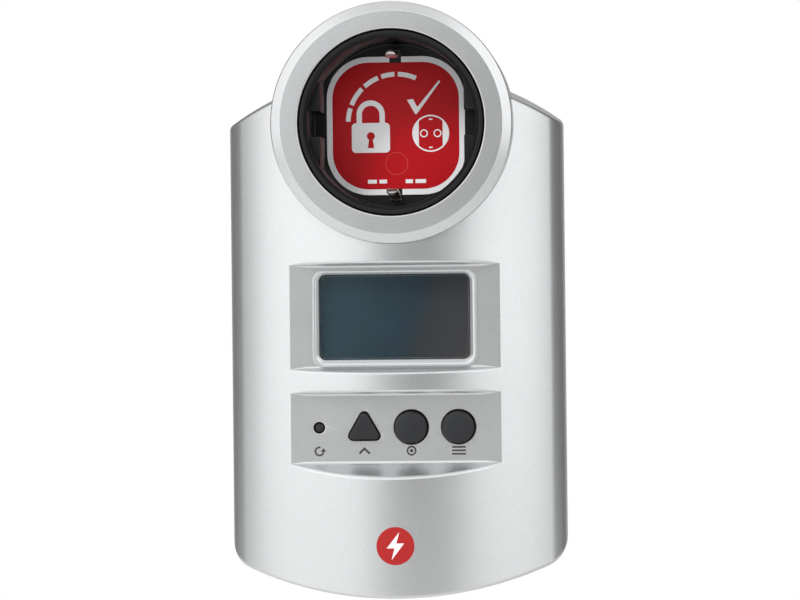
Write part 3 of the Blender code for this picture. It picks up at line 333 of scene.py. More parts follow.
# Front cover ------------
DISPLAY_Z = (-56.9 * MM, -32.7 * MM)
BUTTONS_Z = (-78.9 * MM, -62.5 * MM)
SILL_DRAFT = 0.7 * MM            # lean of the walls over the depth of a panel: at its foot,
HEAD_DRAFT = 0.15 * MM           # at its head,
LENS_DRAFT = 3.1 * MM            # and below the keys
BEZEL_SIZE = (38.2 * MM, 22.7 * MM)
BEZEL_CORNER = 2.8 * MM
BEZEL_Z = -45.3 * MM
WINDOW_SIZE = (35.1 * MM, 19.8 * MM)
WINDOW_CORNER = 1.5 * MM
WINDOW_Z = -44.9 * MM
BUTTON_Z = -70.5 * MM
BUTTON_X = {"reset": -17.8 * MM, "up": -7.3 * MM, "set": 3.65 * MM, "func": 14.65 * MM}
BUTTON_STAND = 1.5 * MM
ROUND_KEY_RADIUS = 3.72 * MM
KEY_GAP = 0.3 * MM
RESET_HOLE_RADIUS = 1.35 * MM
UP_HOLE_RADIUS = 5.2 * MM
UP_CORNER = 1.1 * MM
UP_Z = BUTTON_Z - 0.45 * MM      # the triangle's middle, a little below the others
CREASE = 0.06 * MM               # softness of the panels' upright edges
OUTER_EDGE = 0.7 * MM            # reach of the rounding along the cover's outer edge,
RECESS_EDGE = 0.7 * MM           # and along its recesses' lips and feet
BITE_GAP = 0.04 * MM             # between the cover and the collar
LIP_STEPS, FOOT_STEPS = 7, 5
CROWN_STEPS, CORNER_STEPS, SIDE_STEPS = 34, 14, 4
CREASE_PITCH = 0.08 * MM
HOLE_EDGE = 0.22 * MM            # rounding of the key holes' rims


def front_columns(inset):
    """(x, y) places along the front seen from above, from its left parting edge to its right one."""
    half, crown, corner = HALF_WIDTH - inset, FRONT_RADIUS - inset, FRONT_CORNER - inset
    corner_x = half - corner
    reach = sqrt((crown - corner) ** 2 - corner_x**2)
    corner_y = FRONT_CENTRE_Y - reach
    meeting = asin(corner_x / (crown - corner))
    even = [crown * sin(meeting) * i / CROWN_STEPS for i in range(CROWN_STEPS + 1)]
    crease = [PANEL_HALF_WIDTH + step * CREASE_PITCH for step in range(-4, 5)]
    even = [x for x in even if abs(x - PANEL_HALF_WIDTH) > 0.5 * MM]
    crown_part = [(x, FRONT_CENTRE_Y - sqrt(crown**2 - x**2)) for x in sorted(even + crease)]
    turns = [meeting + (pi / 2 - meeting) * i / CORNER_STEPS for i in range(1, CORNER_STEPS + 1)]
    corner_part = [(corner_x + corner * sin(t), corner_y - corner * cos(t)) for t in turns]
    side_y = [corner_y + (PARTING_Y - corner_y) * i / SIDE_STEPS for i in range(1, SIDE_STEPS + 1)]
    side_part = [(half, y) for y in side_y]
    right = crown_part + corner_part + side_part
    return [(-x, y) for x, y in reversed(right[1:])] + right


def softer_max(a, b, width):
    """The larger of two numbers, blended where they differ by less than width."""
    blend = max(width - abs(a - b), 0) / width
    return max(a, b) + blend**2 * width / 4


def recess_wall(y, floor_y, edge_z, draft, soft, outward):
    """The (y, z) points down one wall of a recess, from its lip to its foot. outward is 1 at the top."""
    depth = floor_y - y
    if depth < Skin.NEAR:
        return [Vector((y, edge_z))] * (LIP_STEPS + FOOT_STEPS + 2)
    foot_corner = Vector((floor_y, edge_z))
    lip_corner = Vector((y, edge_z + outward * draft * depth / PANEL_DEPTH))
    wall = foot_corner - lip_corner
    reach = min(soft, 0.45 * wall.length)
    down, level = wall.normalized() * reach, Vector((0, outward)) * reach
    return (bend(lip_corner + level, lip_corner, lip_corner + down, LIP_STEPS)
            + bend(foot_corner - down, foot_corner, foot_corner - level, FOOT_STEPS))


def cover_column(x, y, inset, floor_y, recesses, edge, soft):
    """The (y, z) points of one upright section of the cover, from the top's parting edge to the bottom's.
    The second result gives the indexes where each recess's floor begins."""
    half = HALF_WIDTH - inset
    top = TOP_Z - TOP_RADIUS + crown_height(x, half, TOP_RADIUS - inset, TOP_CORNER - inset)
    bottom = BOTTOM_Z + BOTTOM_RADIUS - crown_height(x, half, BOTTOM_RADIUS - inset, BOTTOM_CORNER - inset)
    depth = PARTING_Y - y
    reach = min(edge, 0.4 * depth)
    corner = Vector((y, top - depth * tan(TOP_SLOPE)))
    back = Vector((cos(TOP_SLOPE), sin(TOP_SLOPE))) * reach
    down = Vector((0, -reach))
    points = [Vector((PARTING_Y, top)), *bend(corner + back, corner, corner + down, 6)]
    floors, floor = [], softer_max(y, floor_y, CREASE)
    for low, high, low_draft, high_draft in recesses:
        points += recess_wall(y, floor, high, high_draft, soft, 1)
        floors.append(len(points) - 1)
        points += recess_wall(y, floor, low, low_draft, soft, -1)[::-1]
    corner = Vector((y, bottom))
    points += [*bend(corner - down, corner, corner + Vector((reach, 0)), 6), Vector((PARTING_Y, bottom))]
    return points, floors


def cover_skin(skin, inset, floor_y, recesses, edge, soft):
    """Sews one side of the cover. edge and soft are the reach of its outer and its recesses' rounding.
    Returns its edge at the parting plane and the outline of each floor."""
    columns = []
    for x, y in front_columns(inset):
        section, floors = cover_column(x, y, inset, floor_y, recesses, edge, soft)
        columns.append([(x, point[0], point[1]) for point in section])
    flat = [abs(column[0][0]) < PANEL_HALF_WIDTH - 0.3 * MM for column in columns]
    for left, right, left_flat, right_flat in zip(columns, columns[1:], flat, flat[1:]):
        for row in range(len(left) - 1):
            if row in floors and left_flat and right_flat:
                continue
            skin.face((left[row], left[row + 1], right[row + 1], right[row]))
    inside = [column for column, is_flat in zip(columns, flat) if is_flat]
    outlines = [[c[row] for c in inside] + [c[row + 1] for c in reversed(inside)] for row in floors]
    rim = [c[0] for c in columns] + columns[-1][1:] + [c[-1] for c in reversed(columns[:-1])]
    return without_repeats(rim + columns[0][-2:0:-1]), outlines


def without_repeats(loop):
    """A loop of points without those that fall on the one before."""
    return [p for p, before in zip(loop, loop[-1:] + loop[:-1])
            if (Vector(p) - Vector(before)).length > Skin.NEAR]


def hole_edges(outline_at):
    """Rows round a hole in a panel, over its softened rim to the panel's back. outline_at gives the hole's
    outline, grown by a distance."""
    rows = [standing(outline_at(HOLE_EDGE * grown), PANEL_Y + HOLE_EDGE * back)
            for back, grown in rounding(4)]
    return [*rows, standing(outline_at(0), PANEL_Y + WALL)]


def key_hole_rows():
    """The rows of each key's hole, from the left."""
    def round_hole(name, radius):
        return lambda grown: circle(radius + grown, (BUTTON_X[name], BUTTON_Z))

    def triangle_hole(grown):
        return rounded_triangle(UP_HOLE_RADIUS + 2 * grown, UP_CORNER + grown, (BUTTON_X["up"], UP_Z), 12)

    shapes = [round_hole("reset", RESET_HOLE_RADIUS), triangle_hole]
    shapes += [round_hole(name, ROUND_KEY_RADIUS + KEY_GAP) for name in ("set", "func")]
    return [hole_edges(shape) for shape in shapes]


def bezel_rows():
    """Rows from the bezel's foot over its bead, down its inner slope and back through the window."""
    outer = rounded_rectangle(*BEZEL_SIZE, BEZEL_CORNER, (0, BEZEL_Z), 10)
    window = rounded_rectangle(*WINDOW_SIZE, WINDOW_CORNER, (0, WINDOW_Z), 10)
    bead = filleted([(-0.1, 0), (0.06, 0, 0.12), (0.14, 0.84, 0.32), (0.52, 0.72, 0.3), (0.98, 0.1, 0.25),
                     (1.0, -0.5)])
    rows = []
    for share, stand in bead:
        outline = [(a + (c - a) * share, b + (d - b) * share) for (a, b), (c, d) in zip(outer, window)]
        rows.append(standing(outline, PANEL_Y - stand * MM))
    return [*rows, standing(window, PANEL_Y + WALL)]


def front_cover():
    """The silver shell, with its two sunken panels, the display's bezel and the keys' holes."""
    skin = Skin()
    recesses = [(*DISPLAY_Z, SILL_DRAFT, HEAD_DRAFT), (*BUTTONS_Z, LENS_DRAFT, HEAD_DRAFT)]
    outer_rim, (display, buttons) = cover_skin(skin, 0.0, PANEL_Y, recesses, OUTER_EDGE, RECESS_EDGE)
    step = (BUTTONS_Z[0] - LENS_DRAFT - WALL, DISPLAY_Z[1] + WALL, 0.2 * MM, 0.2 * MM)
    inner_rim, (step_floor,) = cover_skin(skin, WALL, PANEL_Y + WALL, [step], 0.4 * MM, 0.3 * MM)
    bezel, keys = bezel_rows(), key_hole_rows()
    for rows in (bezel, *keys):
        skin.strips(rows)
    skin.fill(display, bezel[0])
    skin.fill(buttons, *[rows[0] for rows in keys])
    skin.fill(step_floor, bezel[-1], *[rows[-1] for rows in keys])
    skin.fill(outer_rim, inner_rim)
    cover = skin.object("front_cover")
    bite = rod(COLLAR_RADIUS + BITE_GAP, CROWN_Y - 20 * MM, PARTING_Y + 20 * MM, sides=180)
    return reshade(boolean(cover, [bite]))


# Socket ------------
COLLAR_FACE_RADIUS = 25.8 * MM
COLLAR_SKIRT = 1.3 * MM
COLLAR_DISH = 0.13 * MM              # fall of the ring's face, from its inner edge to its outer one
RIM_Y = COLLAR_Y + 0.4 * MM
GAP = 0.3 * MM
LAND_FRONT_Y = COLLAR_Y + 4.4 * MM
RECESS_FLAT = 16.7 * MM
NOTCH_HALF = 2.95 * MM
PIN_HOLE_RADIUS = 3.15 * MM
PIN_X = (PIN_LOW.x + PIN_HIGH.x) / 2
STRIP_SLOT = (1.42 * MM, 16.45 * MM, 17.55 * MM)   # half width, lower and upper edge


def block(first, second):
    """A plain box for cutting, between two opposite corners."""
    (left, right), (near, far), (low, high) = (sorted(pair) for pair in zip(first, second))
    return plate("tool", [(left, low), (right, low), (right, high), (left, high)], near, far)


def rod(radius, low, high, at=(0, 0, 0), sides=48, far_radius=None):
    """A round tool from low to high in Y, which may taper to another radius."""
    return lathe("tool", [(0, low), (radius, low), (far_radius or radius, high), (0, high)], at, sides)


def socket_collar():
    """The ring round the socket: a flat face, a shallow cone and a tube that runs back into the housing."""
    flange_y, inner = COLLAR_Y + 2.2 * MM, COLLAR_RADIUS - WALL
    profile = [(COLLAR_FACE_RADIUS, COLLAR_Y + COLLAR_DISH, 0.5 * MM),
               (COLLAR_RADIUS, COLLAR_Y + COLLAR_SKIRT, 0.5 * MM), (COLLAR_RADIUS, COLLAR_HIGH.y),
               (inner, COLLAR_HIGH.y), (inner, flange_y + 0.6 * MM), (inner - 0.8 * MM, flange_y),
               (RIM_RADIUS + GAP, flange_y), (RIM_RADIUS + GAP, COLLAR_Y, 0.35 * MM)]
    return lathe("collar_ring", profile, sides=180, closed=True)


def recess_land(side, up):
    """One of the four raised corners beside the recess, between a flat side's notch and its end."""
    radius = RECESS_RADIUS + 0.7 * MM
    edge = arc((0, 0), radius, asin(NOTCH_HALF / radius), acos(RECESS_FLAT / radius), 14)
    outline = [(side * x, up * z) for x, z in [(RECESS_FLAT, NOTCH_HALF), *edge]]
    return plate("land", outline, LAND_FRONT_Y, SOCKET_FACE_Y + 0.5 * MM, 0.35 * MM)


def socket_cup():
    """The black cup: a soft rim, a round recess with a flat on either side, pin holes and clip slots."""
    flange_y, flange = FACE_BACK_Y - 2.4 * MM, RIM_RADIUS + 3.2 * MM
    profile = [(0, SOCKET_FACE_Y), (RECESS_RADIUS, SOCKET_FACE_Y, 0.5 * MM),
               (RECESS_RADIUS, RIM_Y + 1.0 * MM, 0.5 * MM), (RECESS_RADIUS + 0.9 * MM, RIM_Y, 0.4 * MM),
               (RIM_RADIUS, RIM_Y, 0.4 * MM), (RIM_RADIUS, flange_y), (flange, flange_y),
               (flange, FACE_BACK_Y), (0, FACE_BACK_Y)]
    cup = lathe("socket_cup", profile, sides=144)
    boolean(cup, [recess_land(side, up) for side in (-1, 1) for up in (-1, 1)], "UNION")
    tools, (half, low, high) = [], STRIP_SLOT
    near, far = SOCKET_FACE_Y - 8 * MM, FACE_BACK_Y + 8 * MM
    for side in (-1, 1):
        tools.append(rod(PIN_HOLE_RADIUS, near, far, (side * PIN_X, 0, 0)))
        tools.append(block((-half, near, side * low), (half, far, side * high)))
    return reshade(boolean(cup, tools))


def smooth_route(points, steps):
    """Catmull-Rom points along a route."""
    route = [Vector(p) for p in points]
    padded = [2 * route[0] - route[1], *route, 2 * route[-1] - route[-2]]
    made = []
    for a, b, c, d in zip(padded, padded[1:], padded[2:], padded[3:]):
        for t in (step / steps for step in range(steps)):
            made.append(0.5 * (2 * b + (c - a) * t + (2 * a - 5 * b + 4 * c - d) * t**2
                               + (3 * b - a - 3 * c + d) * t**3))
    return [*made, route[-1]]


STRIP_HALF = (STRIP_HIGH.x - STRIP_LOW.x) / 2
STRIP_THICKNESS = 0.8 * MM
STRIP_NOSE = 1.3 * MM                # reach of the round end
STRIP_FRONT_Z, STRIP_BACK_Z = 15.5 * MM, 17.0 * MM


def earth_strip(name, side):
    """A sprung contact strip, rounded at its front end, that runs back through the housing to the plug."""
    front, back = STRIP_FRONT_Z, STRIP_BACK_Z
    route = smooth_route([
        (STRIP_LOW.y + 0.1 * MM, front + 1.1 * MM), (COLLAR_Y + 3.4 * MM, front + 0.2 * MM),
        (COLLAR_Y + 5.0 * MM, front), (COLLAR_Y + 7.0 * MM, front + 0.25 * MM),
        (SOCKET_FACE_Y - 3.0 * MM, back), (SOCKET_FACE_Y + 1 * MM, back), (-4.5 * MM, back),
        (-3.0 * MM, back), (STRIP_HIGH.y - 0.1 * MM, back - 1.0 * MM)], 8)
    section = rounded_rectangle(2 * STRIP_HALF, STRIP_THICKNESS, 0.25 * MM, steps=4)
    rows, gone = [], 0.0
    for i, here in enumerate(route):
        before, after = route[max(i - 1, 0)], route[min(i + 1, len(route) - 1)]
        along = (after - before).normalized()
        gone += (here - before).length
        short = max(1 - gone / STRIP_NOSE, 0)
        width = max(sqrt(1 - short**2), 0.12)
        rows.append([(u * width, here.x - along.y * v, side * (here.y + along.x * v)) for u, v in section])
    return solid(name, rows)


COIL_WIRE = 0.17 * MM                # half of its thickness
COIL_TURNS, COIL_STEPS = 8, 20


def shutter_coil():
    """The shutter's compression spring, a coil of round wire over the height of the imported spring."""
    low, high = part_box("shutter_spring")
    wire, steps, up = COIL_WIRE, COIL_TURNS * COIL_STEPS, Vector((0, 0, 1))
    start = Vector((0, (low.y + high.y) / 2, low.z + wire))
    climb, reach = (high.z - low.z - 2 * wire) / steps, (high.x - low.x) / 2 - wire
    rows = []
    for step in range(steps + 1):
        turn = 2 * pi * step / COIL_STEPS
        out = Vector((cos(turn), sin(turn), 0))
        centre = start + out * reach + up * (climb * step)
        rows.append([centre + out * u + up * v for u, v in circle(wire, steps=8)])
    return solid("shutter_coil", rows, radians(60))


# Label over the pin holes ------------
LABEL_SIZE = 32.5 * MM
LABEL_CORNER = 9.9 * MM
LABEL_BORDER = 1.35 * MM
LABEL_NOTCH = (1.4 * MM, 1.5 * MM)   # half width and depth, under each earth clip
INK = 0.03 * MM                      # how far print stands proud
INK_ROOT = 0.02 * MM                 # how far it reaches into what it is printed on


def label_outline(border):
    """The label's outline, drawn in by a border, with its notch at the top and the bottom."""
    size, (half, depth) = LABEL_SIZE / 2 - border, LABEL_NOTCH
    corner = LABEL_CORNER - border
    edge = LABEL_SIZE / 2 - depth
    quarter = arc((size - corner, size - corner), corner, 0, pi / 2, 12)
    right = quarter if edge > size else quarter + [(half, size), (half, edge)]
    upper = right + [(-x, z) for x, z in reversed(right)]
    return upper + [(x, -z) for x, z in reversed(upper)]


def printed(name, outlines, y):
    """A thin printed layer from closed XZ outlines, on a surface at y that faces the front."""
    return flat_shape(name, outlines, y - INK, y + INK_ROOT)


def flat_shape(name, outlines, low, high):
    """A thin sheet from low to high in Y. An outline inside another is a hole in it."""
    curve = bpy.data.curves.new(name, "CURVE")
    curve.dimensions, curve.fill_mode = "2D", "BOTH"
    curve.extrude = (high - low) / 2
    for outline in outlines:
        spline = curve.splines.new("POLY")
        spline.points.add(len(outline) - 1)
        for point, (u, v) in zip(spline.points, outline):
            point.co = (u, v, 0, 1)
        spline.use_cyclic_u = True
    guide = placed(name, curve)
    bpy.context.view_layer.update()
    mesh = bpy.data.meshes.new_from_object(guide.evaluated_get(bpy.context.evaluated_depsgraph_get()))
    bpy.data.objects.remove(guide, do_unlink=True)
    bm = bmesh.new()
    bm.from_mesh(mesh)
    bpy.data.meshes.remove(mesh)
    bm.transform(Matrix(((1, 0, 0, 0), (0, 0, -1, (low + high) / 2), (0, 1, 0, 0), (0, 0, 0, 1))))
    bmesh.ops.remove_doubles(bm, verts=bm.verts, dist=Skin.NEAR)
    return mesh_object(name, bm)


def in_mm(shapes):
    """Outlines drawn in millimetres, in metres."""
    return [[(u * MM, v * MM) for u, v in shape] for shape in shapes]


def stroke(points, width):
    """The outline of a line of even width, with mitred bends."""
    route = [Vector(p) for p in points]
    sides = [Vector((a.y - b.y, b.x - a.x)).normalized() for a, b in zip(route, route[1:])]
    sides = [sides[0], *sides, sides[-1]]
    offsets = [(n + m) * (width / 2 / (1 + n.dot(m))) for n, m in zip(sides, sides[1:])]
    left = [tuple(point + offset) for point, offset in zip(route, offsets)]
    right = [tuple(point - offset) for point, offset in zip(route, offsets)]
    return left + right[::-1]


def ring(centre, radius, width):
    """A ring's outer and inner outline."""
    return [circle(radius + width / 2, centre), circle(radius - width / 2, centre)]


def padlock(centre):
    """A closed padlock, drawn in millimetres."""
    u, v = centre
    shackle = [(u + 2.7, v - 0.1), *arc((u, v + 1.9), 2.7, 0, pi, 20), (u - 2.7, v - 0.1)]
    keyhole = arc((u, v - 3.2), 0.95, radians(-62), radians(242), 16)
    keyhole += [(u - 0.75, v - 6.0), (u + 0.75, v - 6.0)]
    return [stroke(shackle, 1.25), rounded_rectangle(9.0, 7.0, 1.0, (u, v - 3.6)), keyhole]


def small_socket(centre):
    """A socket seen from the front, drawn in millimetres."""
    u, v = centre
    half_width, radius = 2.8, 4.0
    lean = acos(half_width / radius)
    opening = arc(centre, radius, lean, pi - lean, 16)
    opening += [(x, 2 * v - y) for x, y in reversed(opening)]
    shapes = [circle(4.35, centre), opening]
    for side in (-1, 1):
        shapes += ring((u + side * 1.6, v), 0.8, 0.28)
        shapes.append(rounded_rectangle(0.9, 0.3, 0.1, (u, v + side * 3.3)))
    return shapes


def label_prints():
    """White signs on the label's red field: a padlock, a tick, a socket, and dashes in place of words."""
    tick = filleted([(2.7, 6.0), (4.1, 6.25, 0.3), (5.1, 4.3, 0.2), (10.2, 10.5), (10.55, 10.2),
                     (4.75, 2.4, 0.3)], closed=True)
    turns = [(162, 178), (135, 158), (112, 131), (92, 108), (66, 88)]
    arched = [arc((0.2, 0.7), 11.4, radians(a), radians(b), 10) for a, b in turns]
    level = [[(a, -13.1), (b, -13.1)] for a, b in ((-6.7, -4.6), (-4.0, -2.2), (2.2, 3.9), (4.5, 7.0))]
    dashes = [stroke(route, 1.1) for route in arched] + [stroke(route, 0.9) for route in level]
    return in_mm([*padlock((-5.9, 0.8)), tick, *small_socket((8.2, -1.9)), *dashes])


def safety_label():
    """The label's white sheet, its red field, its white signs, and a faint circle on the red."""
    sheet = plate("label_sheet", label_outline(0), LABEL_LOW.y, LABEL_HIGH.y)
    field = printed("label_field", [label_outline(LABEL_BORDER)], LABEL_LOW.y)
    signs = printed("label_signs", label_prints(), LABEL_LOW.y - INK)
    faint = printed("label_circle", in_mm(ring((0.15, -8.9), 2.6, 0.16)), LABEL_LOW.y - INK)
    return sheet, field, signs, faint


# Window and keys ------------
FLANGE_Y = (PANEL_Y + WALL + GAP, PANEL_Y + WALL + 1.0 * MM)
KEY_SAG = 0.12 * MM                  # how far the round keys hang down and to the left in their holes


def stemmed(front, flange, stem):
    """A key's profile from its front over a flange behind the panel to the end of its stem."""
    return [*front, (front[-1][0], FLANGE_Y[0]), (flange, FLANGE_Y[0], 0.15 * MM),
            (flange, FLANGE_Y[1], 0.15 * MM), (stem, FLANGE_Y[1]), (stem, KEY_STEM_Y), (0, KEY_STEM_Y)]


def lens():
    """The display's clear window."""
    size = [side - 2 * GAP for side in WINDOW_SIZE]
    outline = rounded_rectangle(*size, WINDOW_CORNER - GAP, (0, WINDOW_Z), 10)
    return plate("window_pane", outline, LENS_LOW.y, LENS_HIGH.y, 0.2 * MM)


def round_key(name):
    """A round cap with a slightly domed face."""
    radius, y = ROUND_KEY_RADIUS, PANEL_Y - BUTTON_STAND
    face = [(0, y - 0.1 * MM), (radius * 0.5, y - 0.06 * MM), (radius, y + 0.08 * MM, 0.75 * MM)]
    profile = stemmed(face, radius + 1.0 * MM, 1.3 * MM)
    at = (BUTTON_X[name] - KEY_SAG, 0, BUTTON_Z - KEY_SAG)
    return lathe(f"{name}_cap", profile, at, 72, 7)


def triangle_key():
    """The three-cornered cap, with a round flange and stem behind it."""
    at = (BUTTON_X["up"], 0, BUTTON_Z)
    outline = rounded_triangle(UP_HOLE_RADIUS - 2 * GAP, UP_CORNER - 0.25 * MM, (BUTTON_X["up"], UP_Z), 12)
    cap = plate("up_cap", outline, PANEL_Y - BUTTON_STAND, FLANGE_Y[1] - 0.2 * MM, 0.45 * MM)
    stem = [rod(4.6 * MM, *FLANGE_Y, at), rod(1.3 * MM, FLANGE_Y[0], KEY_STEM_Y, at)]
    return reshade(boolean(cap, stem, "UNION"))


def reset_key():
    """The small cap, sunk in its hole."""
    face = [(0, PANEL_Y + 0.5 * MM), (RESET_HOLE_RADIUS - GAP, PANEL_Y + 0.55 * MM, 0.3 * MM)]
    profile = stemmed(face, 2.4 * MM, 1.1 * MM)
    return lathe("reset_cap", profile, (BUTTON_X["reset"], 0, BUTTON_Z), 48)


# Signs on the housing ------------
SIGN_Z = -76.0                       # the signs are drawn in millimetres
BADGE_Z = -97.8
BADGE_RADIUS = 4.4


def key_signs():
    """A sign under each key: a turning arrow, a chevron, a ringed dot and bars."""
    z, (reset, up, ringed, func) = SIGN_Z, (place / MM for place in BUTTON_X.values())
    turn = arc((reset, z), 0.95, radians(75), radians(350), 20)
    head = [(reset + 0.3, z - 0.1), (reset + 1.6, z - 0.1), (reset + 0.95, z + 0.8)]
    chevron = [(up - 1.2, z - 0.6), (up, z + 0.6), (up + 1.2, z - 0.6)]
    bars = [stroke([(func - 1.6, z + rise), (func + 1.6, z + rise)], 0.4) for rise in (-0.8, 0, 0.8)]
    shapes = [stroke(turn, 0.4), head, stroke(chevron, 0.5), *ring((ringed, z), 0.95, 0.38),
              circle(0.4, (ringed, z), 20), *bars]
    return printed("key_signs", in_mm(shapes), PANEL_Y)


def bowed(obj):
    """Bends a thin front-facing piece back over the round front."""
    bm = bmesh.new()
    bm.from_mesh(obj.data)
    reach = max(abs(v.co.x) for v in bm.verts)
    for i in range(-12, 13):
        cut = Vector((reach * i / 13, 0, 0))
        bmesh.ops.bisect_plane(bm, geom=[*bm.verts, *bm.edges, *bm.faces], plane_co=cut, plane_no=(1, 0, 0))
    for vert in bm.verts:
        vert.co.y += FRONT_RADIUS - sqrt(FRONT_RADIUS**2 - vert.co.x**2)
    bm.to_mesh(obj.data)
    bm.free()
    return obj


def badge():
    """A plain red disc with a lightning flash."""
    flash = [(0.9, 3.2), (-2.0, -0.5), (-0.2, -0.5), (-0.9, -3.2), (2.0, 0.6), (0.2, 0.6)]
    disc = bowed(printed("badge_disc", in_mm([circle(BADGE_RADIUS, (0, BADGE_Z), 64)]), CROWN_Y))
    sign = in_mm([[(u, v + BADGE_Z) for u, v in flash]])
    return disc, bowed(printed("badge_flash", sign, CROWN_Y - INK))


# Rear cover, plug and rating plate ------------
TAPER_CENTRE_Z = -48.0 * MM
TAPER = (0.945, 0.965)           # width and height of the back against the parting line
LOBE_BACK_RADIUS = 27.0 * MM
REAR_EDGE = 1.6 * MM
REAR_Y = REAR_LOW.y
PLUG_RADIUS = 18.4 * MM
PIN_RADIUS = (PIN_HIGH.x - PIN_LOW.x) / 2
SCREW_PLACES = [(side * x * MM, z * MM) for x, z in ((32.5, -9.0), (30.0, -93.0)) for side in (-1, 1)]
MAIN_SCREWS = [(side * 28.5 * MM, -35.0 * MM) for side in (-1, 1)]
RATING_POCKET = (44.6 * MM, 30.6 * MM)
RATING_CORNER = 2.0 * MM
RATING_Z = (RATING_LOW.z + RATING_HIGH.z) / 2
RATING_DEPTH = 0.3 * MM
FAR = 30 * MM                    # past the part's edge, for a tool that cuts right through
POST_RADIUS, BOARD_POST_RADIUS = 3.6 * MM, 2.6 * MM
HEAD_HOLE, SHANK_HOLE, PILOT_HOLE = 3.0 * MM, 1.7 * MM, 1.3 * MM     # radii, for the screws


def tapered_row(inset, y, back, drawn_in=0.0):
    """The rear cover's outline at y, inset from its skin, and drawn in a little more at its edge."""
    share = (y - REAR_Y) / (back - REAR_Y)
    wide, high = (1 + (part - 1) * share for part in TAPER)
    outline = [(x * wide, TAPER_CENTRE_Z + (z - TAPER_CENTRE_Z) * high) for x, z in body_outline(inset)]
    return standing(shrunk(outline, drawn_in) if drawn_in else outline, y)


def rear_cover():
    """The grey shell, with a lobe behind the socket, posts, sunken screw holes and the rating's pocket."""
    rows = [tapered_row(0, REAR_Y, BACK_Y)]
    rows += [tapered_row(0, BACK_Y - REAR_EDGE * left, BACK_Y, REAR_EDGE * inward)
             for inward, left in rounding(6)]
    shell = solid("rear_cover", rows)
    lobe = [(0, REAR_Y), (COLLAR_RADIUS, REAR_Y), (LOBE_BACK_RADIUS, BACK_Y, REAR_EDGE), (0, BACK_Y)]
    boolean(shell, [lathe("lobe", lobe, sides=144, steps=7)], "UNION")
    front, back = REAR_Y - 3 * MM, BACK_Y - WALL
    cavity = solid("cavity", [tapered_row(WALL, front, back), tapered_row(WALL, back, back)])
    inner = rod(COLLAR_RADIUS - WALL, front, back, sides=144, far_radius=LOBE_BACK_RADIUS - WALL)
    boolean(shell, [boolean(cavity, [inner], "UNION"), rod(PLUG_RADIUS + 0.4 * MM, -FAR, 0, sides=120)])
    post_end, board_y = BACK_Y - 1 * MM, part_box("main_board")[1].y + GAP
    posts = [rod(POST_RADIUS, REAR_Y + 0.25 * MM, post_end, (x, 0, z), 32) for x, z in SCREW_PLACES]
    posts += [rod(BOARD_POST_RADIUS, board_y, post_end, (x, 0, z), 32) for x, z in MAIN_SCREWS]
    boolean(shell, posts, "UNION")
    holes = [rod(PILOT_HOLE, board_y - 1 * MM, board_y + 2.8 * MM, (x, 0, z), 24) for x, z in MAIN_SCREWS]
    mouth, out = HEAD_HOLE + 0.6 * MM, BACK_Y + 1 * MM
    sink = [(0, BACK_Y - 4 * MM), (HEAD_HOLE, BACK_Y - 4 * MM), (HEAD_HOLE, BACK_Y - 0.3 * MM),
            (mouth, BACK_Y + 0.3 * MM), (mouth, out), (0, out)]
    for x, z in SCREW_PLACES:
        holes += [rod(SHANK_HOLE, REAR_Y - 1 * MM, BACK_Y, (x, 0, z), 24), lathe("sink", sink, (x, 0, z), 48)]
    pocket = rounded_rectangle(*RATING_POCKET, RATING_CORNER + GAP, (0, RATING_Z), 8)
    holes.append(plate("pocket", pocket, BACK_Y - RATING_DEPTH, BACK_Y + 1 * MM))
    return reshade(boolean(shell, holes))


def rear_plug():
    """The round plug body, with a flat, a rib and an earth groove on either side and a bore for each pin."""
    flange_y = BACK_Y - WALL - GAP
    profile = [(0, 0), (PLUG_RADIUS, 0, 1.0 * MM), (PLUG_RADIUS, flange_y), (PLUG_HIGH.x, flange_y),
               (PLUG_HIGH.x, PLUG_LOW.y), (0, PLUG_LOW.y)]
    plug = lathe("rear_plug", profile, sides=144, steps=7)
    flats, ribs, holes, half = [], [], [], STRIP_HALF + GAP
    for side in (-1, 1):
        flats.append(block((side * 16.3 * MM, BACK_Y + 0.6 * MM, -FAR), (side * 24 * MM, 5 * MM, FAR)))
        rib = rounded_rectangle(3.2 * MM, 5.0 * MM, 0.5 * MM, (side * 16.6 * MM, 0))
        ribs.append(plate("rib", rib, BACK_Y + 0.3 * MM, -0.6 * MM))
        holes.append(rod(PIN_RADIUS + 0.2 * MM, -FAR, 5 * MM, (side * PIN_X, 0, 0)))
        holes.append(block((-half, -FAR, side * 14.9 * MM), (half, -0.6 * MM, side * FAR)))
    boolean(plug, flats)
    boolean(plug, ribs, "UNION")
    return reshade(boolean(plug, holes))


def plug_pin(name, x):
    """A round pin with a domed tip."""
    tip, dome = PIN_HIGH.y, PIN_RADIUS * 0.8
    end = [(PIN_RADIUS * cos(t), tip - dome + dome * sin(t))
           for t in (i * pi / 24 for i in range(12))]
    return lathe(name, [(0, PIN_LOW.y), (PIN_RADIUS, PIN_LOW.y), *end, (0, tip)], (x, 0, 0), 48)


